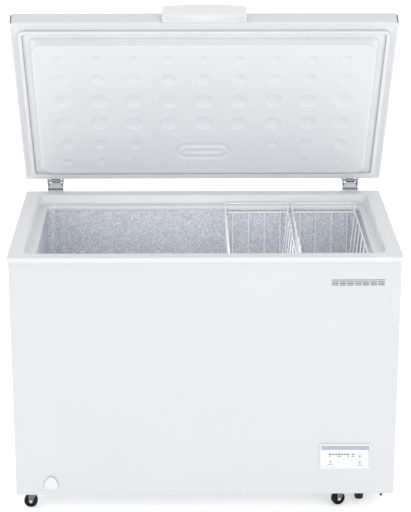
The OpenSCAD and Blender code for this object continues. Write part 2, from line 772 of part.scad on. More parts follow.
// A closed frame of wire in a level plane
module wire_frame(x0, x1, y0, y1, z, r) {
    b = basket_bend;
    for (y = [y0, y1]) tube_x(x0 + b, x1 - b, y, z, r);
    for (x = [x0, x1]) tube_y(x, y0 + b, y1 - b, z, r);
    translate([x1 - b, y1 - b, z]) bend(b, r, 0);
    translate([x0 + b, y1 - b, z]) bend(b, r, 90);
    translate([x0 + b, y0 + b, z]) bend(b, r, 180);
    translate([x1 - b, y0 + b, z]) bend(b, r, 270);
}

// Wire basket between two X planes, with hangers that rest on the front and rear ledges
module basket(span) {
    x0 = span[0] + frame_r;
    x1 = span[1] - frame_r;
    y0 = basket_front;
    y1 = basket_rear;
    in_r = frame_r + wire_r - 0.8;
    hang_z = ledge_z + frame_r + 0.3;
    wire_frame(x0, x1, y0, y1, rail_z, frame_r);
    for (k = [0 : long_wires - 1])
        u_wire_y((x0 + x1) / 2 + (k - (long_wires - 1) / 2) * long_pitch, y0 + in_r, y1 - in_r,
            rail_z + 1, basket_floor, wire_r);
    for (k = [0 : cross_wires - 1])
        u_wire_x(x0 + in_r, x1 - in_r, (y0 + y1) / 2 + (k - (cross_wires - 1) / 2) * cross_pitch,
            rail_z + 1, basket_floor + 2 * wire_r - 0.8, wire_r);
    // hangers: up from the frame near each corner, and out over the ledges
    for (x = [x0 + 22, x1 - 22]) {
        tube_z(x, y0, rail_z, hang_z - 6, frame_r - 0.4);
        bend_yz(x, y0 - 6, hang_z - 6, 6, frame_r - 0.4, 0);
        tube_y(x, y0 - 20, y0 - 6, hang_z, frame_r - 0.4);
        tube_z(x, y1, rail_z, hang_z - 6, frame_r - 0.4);
        bend_yz(x, y1 + 6, hang_z - 6, 6, frame_r - 0.4, 90);
        tube_y(x, y1 + 6, y1 + 20, hang_z, frame_r - 0.4);
    }
    for (y = [y0 - 19, y1 + 19]) tube_x(x0, x1, y, hang_z, frame_r - 0.2);
}

module basket_left() color("white") basket(basket_1);

module basket_right() color("white") basket(basket_2);

// ---- casters and foot ----

// Places a caster's parts: the kingpin is the local origin and the wheel trails along -X
module at_caster(k) {
    translate([CASTERS[k][0], CASTERS[k][1], 0]) rotate([0, 0, CASTERS[k][2]]) children();
}

module caster_plates() color("silver")
    for (k = [0 : 3]) translate([CASTERS[k][0], CASTERS[k][1], 0]) {
        translate([-22, -19, floor_z - 2]) cube([44, 38, 2]);
        translate([0, 0, crown_z - 1]) cylinder(r = 4, h = floor_z - 2.5 - crown_z + 2);
        translate([0, 0, crown_z - 3]) cylinder(r = 6.5, h = 2.6);
    }

// Swivelling fork: a round crown with a pressed ball race, and two legs down to the axle
module caster_fork(k) at_caster(k) {
    leg_y = wheel_w / 2 + fork_gap;
    difference() {
        union() {
            translate([0, 0, crown_z]) cylinder(r = 15, h = 2);
            translate([0, 0, crown_z + 1]) cylinder(r = 12, h = floor_z - 2.4 - crown_z - 1);
            for (s = [-leg_y - fork_t, leg_y]) translate([0, s, 0]) {
                translate([-8, 0, crown_z]) cube([16, fork_t, 2]);
                translate([0, fork_t, 0]) rotate([90, 0, 0]) linear_extrude(fork_t)
                    difference() {
                        union() {
                            translate([-trail, wheel_r]) circle(7);
                            polygon([[-trail - 6, wheel_r + 3], [-trail + 4, wheel_r - 5.5],
                                [9, crown_z - 6], [9, crown_z + 1.5], [-11, crown_z + 1.5]]);
                        }
                        translate([-trail, wheel_r]) circle(3);
                    }
            }
        }
        translate([0, 0, crown_z - 5]) cylinder(r = 4.1, h = 20);
    }
}

// Solid wheel with a tread rounded at its edges and a bore for its axle
module caster_wheel(k) at_caster(k) translate([-trail, 0, wheel_r]) rotate([90, 0, 0])
    rotate_extrude() translate([0, -wheel_w / 2]) difference() {
        union() {
            translate([3.1, 0]) square([wheel_r - 6.1, wheel_w]);
            translate([3.1, 3]) square([wheel_r - 3.1, wheel_w - 6]);
            for (y = [3, wheel_w - 3]) translate([wheel_r - 3, y]) circle(3);
        }
        for (y = [-4.5, wheel_w - 1.5]) translate([8, y]) square([6, 6]);
    }

module caster_axle(k) at_caster(k) {
    head_y = wheel_w / 2 + fork_gap + fork_t;
    tube_y(-trail, -head_y, head_y, wheel_r, 3);
    for (y = [-head_y - 1.8, head_y]) tube_y(-trail, y, y + 1.8, wheel_r, 5);
}

module caster_fork_fl() color("silver") caster_fork(0);
module caster_fork_fr() color("silver") caster_fork(1);
module caster_fork_rl() color("silver") caster_fork(2);
module caster_fork_rr() color("silver") caster_fork(3);
module caster_wheel_fl() color("black") caster_wheel(0);
module caster_wheel_fr() color("black") caster_wheel(1);
module caster_wheel_rl() color("black") caster_wheel(2);
module caster_wheel_rr() color("black") caster_wheel(3);
module caster_axle_fl() color("silver") caster_axle(0);
module caster_axle_fr() color("silver") caster_axle(1);
module caster_axle_rl() color("silver") caster_axle(2);
module caster_axle_rr() color("silver") caster_axle(3);

module front_foot() color("black") translate([foot_xy[0], foot_xy[1], 0])
    cylinder(r1 = foot_r, r2 = foot_top_r, h = floor_z);

outer_wrapper();
rear_panel();
base_panel();
compressor_tray();
bay_shroud();
inner_liner();
cabinet_foam();
rim_frame();
condenser_coil();
evaporator_coil();
compressor();
terminal_cover();
compressor_grommets();
tray_bolts();
filter_drier();
refrigerant_lines();
side_grille();
rear_cover();
panel_bezel();
panel_fascia();
control_board();
indicator_lamps();
set_button();
boost_button();
drain_tube();
drain_spout();
drain_cap();
drain_plug();
hinge_base_left();
hinge_base_right();
hinge_pins();
hinge_springs();
hinge_base_screws();
hinge_leaf_left();
hinge_leaf_right();
hinge_leaf_screws();
lid_skin();
lid_frame();
lid_foam();
lid_liner();
lid_gasket();
lid_handle();
handle_screws();
basket_left();
basket_right();
caster_plates();
caster_fork_fl();
caster_fork_fr();
caster_fork_rl();
caster_fork_rr();
caster_wheel_fl();
caster_wheel_fr();
caster_wheel_rl();
caster_wheel_rr();
caster_axle_fl();
caster_axle_fr();
caster_axle_rl();
caster_axle_rr();
front_foot();
cord_gland();
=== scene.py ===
"""Looks of a chest freezer with its lid propped open, built around its packed working model.

Every shape is a grid of points worked out with numpy, in metres, in the model's own frame: the
origin is on the floor, +X is the right-hand end, +Y is the back and +Z is up. The lid's shapes are
worked out for the closed lid and then turned to the angle at which the model holds it.
"""

import logging
import math
from collections.abc import Callable, Sequence
from dataclasses import astuple, dataclass, field
from enum import Enum
from typing import Any

import bmesh
import bpy
import numpy as np
from mathutils import Matrix, Vector


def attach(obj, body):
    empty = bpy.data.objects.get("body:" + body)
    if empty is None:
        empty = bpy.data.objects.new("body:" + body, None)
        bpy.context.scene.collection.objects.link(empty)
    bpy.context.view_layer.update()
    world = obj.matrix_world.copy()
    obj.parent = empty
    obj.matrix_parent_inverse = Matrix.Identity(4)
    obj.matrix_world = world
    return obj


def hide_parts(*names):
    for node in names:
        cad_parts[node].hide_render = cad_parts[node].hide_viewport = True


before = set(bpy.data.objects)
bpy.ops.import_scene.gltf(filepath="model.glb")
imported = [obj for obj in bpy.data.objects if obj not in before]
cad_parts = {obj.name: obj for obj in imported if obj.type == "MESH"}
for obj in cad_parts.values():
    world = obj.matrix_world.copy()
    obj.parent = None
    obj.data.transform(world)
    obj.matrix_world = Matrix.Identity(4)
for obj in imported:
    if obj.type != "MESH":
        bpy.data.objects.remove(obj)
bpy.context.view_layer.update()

log = logging.getLogger("chest_freezer")

Array = np.ndarray
Rgb = tuple[float, float, float]
MM = 0.001
WELD = 0.00001


# ---- surfaces ----


@dataclass(frozen=True)
class Rect:
    """A rounded rectangle in a level plane, in millimetres."""

    x0: float
    x1: float
    y0: float
    y1: float
    r: float

    def inset(self, d: float, r: float | None = None) -> "Rect":
        """The same outline moved inwards by d, with its corners tightened to suit or set to r."""
        radius = max(self.r - d, 0.4) if r is None else r
        return Rect(self.x0 + d, self.x1 - d, self.y0 + d, self.y1 - d, radius)

    def toward(self, other: "Rect", t: float) -> "Rect":
        """The outline a share t of the way to another one."""
        return Rect(*(p + (q - p) * t for p, q in zip(astuple(self), astuple(other))))

    def loop(self, z: float, corner: int = 8, along: int = 1, across: int = 1) -> Array:
        """Points round the outline, anticlockwise from the right-hand side.

        In words: four quarter circles of the corner radius, joined by straight sides.

        Args:
            z: Height of the loop.
            corner: Steps round each corner.
            along: Steps along each side that runs in X.
            across: Steps along each side that runs in Y.

        Returns:
            Points as rows of x, y, z.
        """
        turn = np.linspace(0.0, math.pi / 2, corner + 1)
        left, right = self.x0 + self.r, self.x1 - self.r
        low, high = self.y0 + self.r, self.y1 - self.r
        centres = ((right, high), (left, high), (left, low), (right, low))
        arcs = [
            np.stack([cx + self.r * np.cos(turn + k * math.pi / 2),
                      cy + self.r * np.sin(turn + k * math.pi / 2)], 1)
            for k, (cx, cy) in enumerate(centres)
        ]
        parts = []
        for k, arc in enumerate(arcs):
            steps = along if k % 2 == 0 else across
            share = np.linspace(0.0, 1.0, steps + 1)[1:-1, None]
            parts += [arc, arc[-1] + (arcs[(k + 1) % 4][0] - arc[-1]) * share]
        flat = np.concatenate(parts)
        return np.column_stack([flat, np.full(len(flat), z)])


@dataclass
class Surface:
    """Points in millimetres with the faces between them, as arrays of indices."""

    points: Array
    faces: list[Array]

    def plus(self, *others: "Surface") -> "Surface":
        """This surface and others as one.

        Args:
            others: The surfaces to add.

        Returns:
            One surface with the faces of all of them.
        """
        points, faces, start = [self.points], list(self.faces), len(self.points)
        for other in others:
            points.append(other.points)
            faces += [f + start for f in other.faces]
            start += len(other.points)
        return Surface(np.concatenate(points), faces)

    def moved(self, x: float = 0.0, y: float = 0.0, z: float = 0.0) -> "Surface":
        """The surface carried along by x, y and z."""
        return Surface(self.points + np.array([x, y, z]), self.faces)

    def placed(self, change: Callable[[Array], Array]) -> "Surface":
        """The surface with every point put where change says."""
        return Surface(change(self.points), self.faces)

    def mirrored(self) -> "Surface":
        """The surface mirrored in the plane X = 0, with its faces turned the right way again."""
        return Surface(self.points * np.array([-1.0, 1.0, 1.0]), [f[:, ::-1] for f in self.faces])


def joined(parts: Sequence[Surface]) -> Surface:
    """Several surfaces as one."""
    return parts[0].plus(*parts[1:])


def skin(rows: Array, ring: bool = True, close: bool = False, caps: bool = False) -> Surface:
    """Faces over a grid of points, each row joined to the next.

    Args:
        rows: Grid of points, indexed by row, column and axis.
        ring: Whether the last column joins the first.
        close: Whether the last row joins the first.
        caps: Whether the first and last rows are filled with one face each.

    Returns:
        The surface.
    """
    count, width = rows.shape[:2]
    index = np.arange(count * width).reshape(count, width)
    if ring:
        index = np.concatenate([index, index[:, :1]], 1)
    if close:
        index = np.concatenate([index, index[:1]], 0)
    quads = np.stack([index[:-1, :-1], index[:-1, 1:], index[1:, 1:], index[1:, :-1]], -1)
    faces = [quads.reshape(-1, 4)]
    if caps:
        faces += [np.arange(width)[None, ::-1], (count - 1) * width + np.arange(width)[None]]
    return Surface(rows.reshape(-1, 3), faces)


def swept(section: Array, places: Sequence[float], axis: int = 0) -> Surface:
    """A straight bar of one section.

    Args:
        section: Outline as rows of the two coordinates across the bar, in the order of the axes.
        places: Where along the bar's axis each copy of the outline stands.
        axis: Number of that axis: 0 for X, 1 for Y, 2 for Z.

    Returns:
        A closed surface.
    """
    return skin(np.stack([np.insert(section, axis, v, axis=1) for v in places]), caps=True)


def quarter(start: float, end: float, steps: int = 5) -> Array:
    """Cosines and sines round part of a circle, from start to end in degrees."""
    a = np.radians(np.linspace(start, end, steps))
    return np.column_stack([np.cos(a), np.sin(a)])


def slab(outline: Rect, z0: float, z1: float, edge: float = 0.8, corner: int = 8) -> Surface:
    """A level plate with rounded edges.

    In words: the outline is carried up through two quarter rounds, and both ends are filled.

    Args:
        outline: The plate's outline.
        z0: Height of its lower face.
        z1: Height of its upper face.
        edge: Radius of its edges.
        corner: Steps round each corner.

    Returns:
        A closed surface.
    """
    low, high = quarter(-90, 0), quarter(0, 90)
    rows = [outline.inset(edge * (1 - c)).loop(z0 + edge * (1 + s), corner) for c, s in low]
    rows += [outline.inset(edge * (1 - c)).loop(z1 - edge * (1 - s), corner) for c, s in high]
    return skin(np.array(rows), caps=True)


def upright(surface: Surface, y: float) -> Surface:
    """Stands a level shape up: its X stays, its Y becomes height and its Z comes forward of y."""
    p = surface.points
    return Surface(np.column_stack([p[:, 0], y - p[:, 2], p[:, 1]]), surface.faces)


def tile(outline: Rect, y: float, high: float, edge: float, corner: int) -> Surface:
    """A thin rounded plate that stands up and reaches forward from y by its height."""
    return upright(slab(outline, 0.0, high, edge, corner), y)


def sideways(surface: Surface, x: float) -> Surface:
    """Stands a level shape up across X: its X becomes Y, its Y height and its Z goes out from x."""
    p = surface.points
    return Surface(np.column_stack([x + p[:, 2], p[:, 0], p[:, 1]]), surface.faces)


def plate(outline: Array, z0: float, z1: float, edge: float = 0.4) -> Surface:
    """A plate of any outline with slightly rounded edges.

    In words: each point moves in along the mean of its two sides' normals by the edge's radius at
    the two faces, and the outline is full in between.

    Args:
        outline: Points of the outline as rows of x, y.
        z0: Height of the lower face.
        z1: Height of the upper face.
        edge: Radius of the edges.

    Returns:
        A closed surface.
    """
    side = np.roll(outline, -1, 0) - outline
    side = side / np.maximum(np.linalg.norm(side, axis=1), 1e-9)[:, None]
    out = np.column_stack([side[:, 1], -side[:, 0]])
    out = out + np.roll(out, 1, 0)
    out = out / np.maximum(np.linalg.norm(out, axis=1), 1e-9)[:, None]
    after = np.roll(outline, -1, 0)
    out = out * np.sign(np.sum(outline[:, 0] * after[:, 1] - after[:, 0] * outline[:, 1]))
    rows = [
        np.column_stack([outline - out * edge * d, np.full(len(outline), z)])
        for d, z in ((1.0, z0), (0.3, z0 + 0.3 * edge), (0.0, z0 + edge),
                     (0.0, z1 - edge), (0.3, z1 - 0.3 * edge), (1.0, z1))
    ]
    return skin(np.array(rows), caps=True)


def turned(profile: Sequence[Sequence[float]], sides: int = 48, axis: str = "z") -> Surface:
    """A surface of revolution.

    In words: each profile point, a radius and a height, goes once round the axis.

    Args:
        profile: Rows of radius and height; a radius of 0 at an end closes it there.
        sides: Steps round the axis.
        axis: The axis that the heights run along.

    Returns:
        The surface, with its axis through the origin.
    """
    a = np.linspace(0.0, 2 * math.pi, sides, endpoint=False)
    r, h = np.hsplit(np.array(profile, float), 2)
    u, v, w = r * np.cos(a), r * np.sin(a), h * np.ones_like(a)
    order = {"z": (u, v, w), "y": (u, w, v), "x": (w, u, v)}[axis]
    return skin(np.stack(order, -1))


def rounded_path(corners: Sequence[Sequence[float]], radius: float, steps: int = 6) -> Array:
    """A path through points whose corners are rounded.

    In words: each corner is swapped for a quadratic curve between the points one radius before
    and after it.

    Args:
        corners: The path's corner points.
        radius: How far from a corner its curve starts.
        steps: Steps round each corner.

    Returns:
        Points as rows of x, y, z.
    """
    p = np.array(corners, float)
    t = np.linspace(0.0, 1.0, steps + 1)[:, None]
    pieces = [p[:1]]
    for before, here, after in zip(p[:-2], p[1:-1], p[2:]):
        a = here + (before - here) * min(radius / np.linalg.norm(before - here), 0.5)
        b = here + (after - here) * min(radius / np.linalg.norm(after - here), 0.5)
        pieces.append((1 - t) ** 2 * a + 2 * t * (1 - t) * here + t**2 * b)
    return np.concatenate([*pieces, p[-1:]])


def wire(path: Array, radius: float, sides: int = 8, closed: bool = False,
         across: Sequence[float] | None = None) -> Surface:
    """A round wire along a path.

    In words: a circle is carried along the path, square to it. One of its two directions is the
    path's direction crossed with a fixed one, which is the normal of the path's own plane.

    Args:
        path: Points of the centre line.
        radius: Radius of the wire.
        sides: Steps round the wire.
        closed: Whether the path's end joins its start.
        across: The fixed direction, where the path doesn't lie in a plane.

    Returns:
        A closed surface.
    """
    if closed:
        run = np.roll(path, -1, 0) - np.roll(path, 1, 0)
    else:
        run = np.gradient(path, axis=0)
    run = run / np.linalg.norm(run, axis=1)[:, None]
    if across is None:
        straight = np.linalg.norm(np.cross(run, run[0]), axis=1).max() < 1e-4
        if straight:
            across = np.cross(run[0], np.eye(3)[np.argmin(np.abs(run[0]))])
        else:
            across = np.linalg.svd(path - path.mean(0))[2][2]
    u = np.cross(run, np.asarray(across, float))
    u = u / np.linalg.norm(u, axis=1)[:, None]
    v = np.cross(run, u)
    a = np.linspace(0.0, 2 * math.pi, sides, endpoint=False)
    rows = (path[:, None] + radius * np.cos(a)[None, :, None] * u[:, None]
            + radius * np.sin(a)[None, :, None] * v[:, None])
    return skin(rows, close=closed, caps=not closed)


def rows_of(like: Array, *values: Array | float) -> Array:
    """Values or arrays side by side, each spread out to the length of another array."""
    return np.stack([np.broadcast_to(v, like.shape) for v in values], 1)


def smooth_step(t: Array) -> Array:
    """Rises smoothly from 0 to 1 as t goes from 0 to 1."""
    t = np.clip(t, 0.0, 1.0)
    return t * t * (3 - 2 * t)


# ---- shader expressions ----


class Link:
    """A socket of a finish's node tree that can be used in sums.

    Each operator adds one Math node; numbers on either side are set on the node's own socket.
    """

    def __init__(self, tree: bpy.types.NodeTree, socket: bpy.types.NodeSocket) -> None:
        """Wraps a socket of a tree."""
        self.tree = tree
        self.socket = socket

    def maths(self, operation: str, *values: "Link | float") -> "Link":
        """Adds a Math node that works on the given values, or on this one alone.

        Args:
            operation: The node's operation.
            values: Links or numbers; this link alone where there are none.

        Returns:
            The node's result.
        """
        made = self.tree.nodes.new("ShaderNodeMath")
        made.operation = operation
        for k, value in enumerate(values or (self,)):
            connect(self.tree, value, made.inputs[k])
        return Link(self.tree, made.outputs[0])

    def __add__(self, other: "Link | float") -> "Link":
        """Sum."""
        return self.maths("ADD", self, other)

    def __radd__(self, other: float) -> "Link":
        """Sum with a number in front."""
        return self.maths("ADD", other, self)

    def __sub__(self, other: "Link | float") -> "Link":
        """Difference."""
        return self.maths("SUBTRACT", self, other)

    def __rsub__(self, other: float) -> "Link":
        """Difference from a number."""
        return self.maths("SUBTRACT", other, self)

    def __mul__(self, other: "Link | float") -> "Link":
        """Product."""
        return self.maths("MULTIPLY", self, other)

    def __rmul__(self, other: float) -> "Link":
        """Product with a number in front."""
        return self.maths("MULTIPLY", other, self)

    def above(self, limit: float) -> "Link":
        """1 where the value is over the limit, and 0 elsewhere."""
        return self.maths("GREATER_THAN", self, limit)

    def held(self) -> "Link":
        """The value kept between 0 and 1."""
        made = self.maths("ADD", self, 0.0)
        made.socket.node.use_clamp = True
        return made


def connect(tree: bpy.types.NodeTree, value: Any, socket: bpy.types.NodeSocket) -> None:
    """Links a Link to a socket, or sets a plain value on it.

    Args:
        tree: The node tree.
        value: A Link, a colour, a vector or a number.
        socket: Where it goes.
    """
    if isinstance(value, Link):
        tree.links.new(value.socket, socket)
    elif isinstance(value, tuple) and len(value) == 3 and socket.type == "RGBA":
        socket.default_value = (*value, 1.0)
    else:
        socket.default_value = value


class Recipe:
    """The node tree of one finish."""

    def __init__(self, name: str) -> None:
        """Starts a material with a Principled shader.

        Args:
            name: Name of the finish.
        """
        self.material = bpy.data.materials.new(name)
        self.material.use_nodes = True
        self.tree = self.material.node_tree
        self.shader = next(n for n in self.tree.nodes if n.type == "BSDF_PRINCIPLED")
        self.coords = self.add("ShaderNodeTexCoord", out="Object")

    def add(self, kind: str, settings: dict[str, Any] | None = None,
            values: dict[str | int, Any] | None = None, out: str | int = 0) -> Link:
        """Adds a node.

        Args:
            kind: Type of the node.
            settings: The node's own settings.
            values: What goes into its sockets, by name or number.
            out: The output to use, by name or number.

        Returns:
            That output.
        """
        made = self.tree.nodes.new(kind)
        for key, value in (settings or {}).items():
            setattr(made, key, value)
        for key, value in (values or {}).items():
            connect(self.tree, value, made.inputs[key])
        return Link(self.tree, made.outputs[out])

    def stretched(self, x: float, y: float, z: float) -> Link:
        """Object coordinates scaled by x, y and z."""
        return self.add("ShaderNodeMapping", values={"Vector": self.coords, "Scale": (x, y, z)})

    def noise(self, scale: float, detail: float = 2.0, rough: float = 0.5,
              at: Link | None = None, out: str | int = 0) -> Link:
        """Noise of the given scale, about 0.5 on average."""
        return self.add("ShaderNodeTexNoise", {}, {"Vector": at or self.coords, "Scale": scale,
                                                   "Detail": detail, "Roughness": rough}, out)

    def cells(self, scale: float, feature: str = "F1", out: str = "Distance",
              at: Link | None = None) -> Link:
        """Cells of the given scale: the distance to their centres or edges, or a tone for each."""
        return self.add("ShaderNodeTexVoronoi", {"feature": feature},
                        {"Vector": at or self.coords, "Scale": scale}, out)

    def blend(self, share: Link, low: Rgb | Link, high: Rgb | Link) -> Link:
        """A colour from low to high as share goes from 0 to 1."""
        return self.add("ShaderNodeMix", {"data_type": "RGBA"}, {0: share, 6: low, 7: high}, 2)

    def bump(self, height: Link, strength: float, distance: float,
             under: Link | None = None) -> Link:
        """A Bump node over a height, with its distance in metres.

        Args:
            height: What is embossed.
            strength: Share of the effect.
            distance: Depth of the relief, in metres.
            under: A normal that it builds on.

        Returns:
            The new normal.
        """
        values = {"Height": height, "Strength": strength, "Distance": distance}
        if under is not None:
            values["Normal"] = under
        return self.add("ShaderNodeBump", {}, values)

    def finish(self, **sockets: Any) -> bpy.types.Material:
        """Fills the shader's sockets, with underlines for the spaces in their names.

        Returns:
            The finished material.
        """
        for key, value in sockets.items():
            connect(self.tree, value, self.shader.inputs[key.replace("_", " ")])
        return self.material


# ---- finishes ----


class Coat(Enum):
    """Kinds of painted and moulded surface, by the shape of their fine texture."""

    POWDER = "powder"
    MOULDED = "moulded"
    DIPPED = "dipped"
    RUBBER = "rubber"


class Grain(Enum):
    """Kinds of bare metal, by the pattern on it."""

    STUCCO = "stucco"
    SPANGLE = "spangle"
    PLATED = "plated"
    DRAWN = "drawn"


@dataclass(frozen=True)
class Coloured:
    """A painted, moulded or dipped finish with a fine texture of its own."""

    name: str
    tone: Rgb
    shade: Rgb
    coat: Coat
    roughness: float = 0.4
    clear: float = 0.0
    shine: float = 0.5

    def make(self) -> bpy.types.Material:
        """Builds the finish.

        In words: two near tones drift into each other over a hand's width, fine dust darkens the
        odd speck, and the bump is the coat's own texture over a slow unevenness.

        Returns:
            The material.
        """
        r = Recipe(self.name)
        drift = r.noise(5.0, 3.0)
        specks = r.noise(900.0, 1.0).above(0.76)
        colour = r.blend((drift * 0.9 + specks * 0.15).held(), self.tone, self.shade)
        if self.coat is Coat.POWDER:
            texture, distance, strength = r.noise(420.0, 2.0, 0.45), 0.0004, 0.10
        elif self.coat is Coat.MOULDED:
            texture, distance, strength = r.cells(1300.0) * 0.6 + r.noise(700.0), 0.0002, 0.12
        elif self.coat is Coat.DIPPED:
            texture, distance, strength = r.noise(260.0, 1.0), 0.0006, 0.20
        else:
            texture, distance, strength = r.noise(1500.0, 3.0, 0.7), 0.0004, 0.45
        wave = r.bump(r.noise(14.0, 1.0), 0.12, 0.002)
        scuff = r.noise(60.0, 4.0, 0.6)
        return r.finish(
            Base_Color=colour,
            Roughness=(scuff * 0.14 + (self.roughness - 0.07)).held(),
            Coat_Weight=self.clear,
            Coat_Roughness=0.18,
            Specular_IOR_Level=self.shine,
            Normal=r.bump(texture, strength, distance, wave),
        )


@dataclass(frozen=True)
class Metal:
    """A bare or plated metal with its pattern."""

    name: str
    tone: Rgb
    shade: Rgb
    grain: Grain
    roughness: float = 0.35
    metallic: float = 1.0

    def stucco(self, r: Recipe) -> tuple[Link, Link, Link]:
        """Embossed sheet, with its glints painted into its colour.

        In words: short bright ridges, which are painted highlights, run where a warped noise
        crosses its middle value, over crackled cells of about 5 mm whose colours differ a little as
        painted reflections.

        Args:
            r: The finish being made.

        Returns:
            Share of the shade, added roughness and the normal.
        """
        warp = r.noise(55.0, 2.0, out="Color")
        at = r.add("ShaderNodeVectorMath", {"operation": "MULTIPLY_ADD"},
                   {0: warp, 1: (0.012, 0.012, 0.012), 2: r.coords})
        # Each cell's own tone, from bright to dull: painted reflections.
        tone = r.add("ShaderNodeSeparateColor", values={0: r.cells(230.0, out="Color", at=at)})
        # Painted highlights: this is 0 along the bright ridges and 1 away from them.
        off_glint = ((r.noise(130.0, 1.0, at=at) - 0.5).maths("ABSOLUTE") * 15.0).held()
        height = 1.0 - off_glint + r.cells(95.0, at=at) * 0.5 + r.noise(300.0) * 0.4
        share = (off_glint * 0.55 + tone * 0.35 + r.noise(35.0, 3.0) * 0.2).held()
        return share, tone * 0.25, r.bump(height, 0.55, 0.0012)

    def spangle(self, r: Recipe) -> tuple[Link, Link, Link]:
        """Galvanised sheet: flat crystals of about 12 mm, each with its own brightness."""
        tone = r.add("ShaderNodeSeparateColor", values={0: r.cells(85.0, out="Color")})
        share = (tone * 0.8 + r.noise(400.0, 2.0) * 0.2).held()
        return share, tone * 0.16, r.bump(tone, 0.06, 0.0004)

    def plated(self, r: Recipe) -> tuple[Link, Link, Link]:
        """Zinc or nickel plate: slow clouds with fine pits."""
        cloud = r.noise(120.0, 4.0, 0.6)
        return cloud, cloud * 0.15, r.bump(r.noise(1400.0, 2.0), 0.10, 0.0002)

    def drawn(self, r: Recipe) -> tuple[Link, Link, Link]:
        """Drawn or rolled metal: long fine scratches and a little tarnish."""
        lines = r.noise(60.0, 3.0, 0.7, r.stretched(1.0, 24.0, 24.0))
        stain = r.noise(40.0, 4.0, 0.6)
        return (lines * 0.4 + stain * 0.6).held(), stain * 0.2, r.bump(lines, 0.10, 0.0002)

    def make(self) -> bpy.types.Material:
        """Builds the finish from its grain.

        Returns:
            The material.
        """
        r = Recipe(self.name)
        share, rough, normal = {
            Grain.STUCCO: self.stucco, Grain.SPANGLE: self.spangle,
            Grain.PLATED: self.plated, Grain.DRAWN: self.drawn,
        }[self.grain](r)
        return r.finish(
            Base_Color=r.blend(share, self.tone, self.shade),
            Metallic=self.metallic,
            Roughness=(rough + (self.roughness - 0.06)).held(),
            Normal=normal,
        )


@dataclass(frozen=True)
class Foam:
    """Poured insulation: pale closed cells with a skin here and there."""

    name: str = "insulation"

    def make(self) -> bpy.types.Material:
        """Builds the foam. In words: cells of about 1 mm over lumps of about 20 mm."""
        r = Recipe(self.name)
        cells = r.cells(900.0)
        tone = r.blend(r.noise(45.0, 4.0), (0.72, 0.62, 0.38), (0.60, 0.49, 0.27))
        return r.finish(Base_Color=tone, Roughness=0.92, Normal=r.bump(cells, 0.6, 0.0008))


@dataclass(frozen=True)
class Board:
    """Circuit board: dark lacquer with lighter tracks in a grid."""

    name: str = "circuit_board"

    def make(self) -> bpy.types.Material:
        """Builds the board. In words: thin tracks of a brick pattern under green lacquer.

        Returns:
            The material.
        """
        r = Recipe(self.name)
        tracks = r.add("ShaderNodeTexBrick", {}, {
            "Vector": r.coords, "Scale": 90.0, "Mortar Size": 0.04,
            "Color1": (0.01, 0.13, 0.05), "Color2": (0.012, 0.16, 0.06),
            "Mortar": (0.05, 0.30, 0.12)})
        return r.finish(Base_Color=tracks, Roughness=(r.noise(200.0) * 0.2 + 0.3).held(),
                        Normal=r.bump(r.noise(800.0), 0.1, 0.0002))


@dataclass(frozen=True)
class Lens:
    """Small lamp lens, unlit: tinted plastic with a faint inner mottling."""

    name: str
    tone: Rgb

    def make(self) -> bpy.types.Material:
        """Builds the lens. In words: its tint deepens where a fine noise is low.

        Returns:
            The material.
        """
        r = Recipe(self.name)
        dark = tuple(0.6 * part for part in self.tone)
        return r.finish(Base_Color=r.blend(r.noise(700.0), dark, self.tone),
                        Roughness=(r.noise(300.0) * 0.1 + 0.12).held(), Coat_Weight=0.5,
                        Normal=r.bump(r.noise(900.0), 0.08, 0.0002))


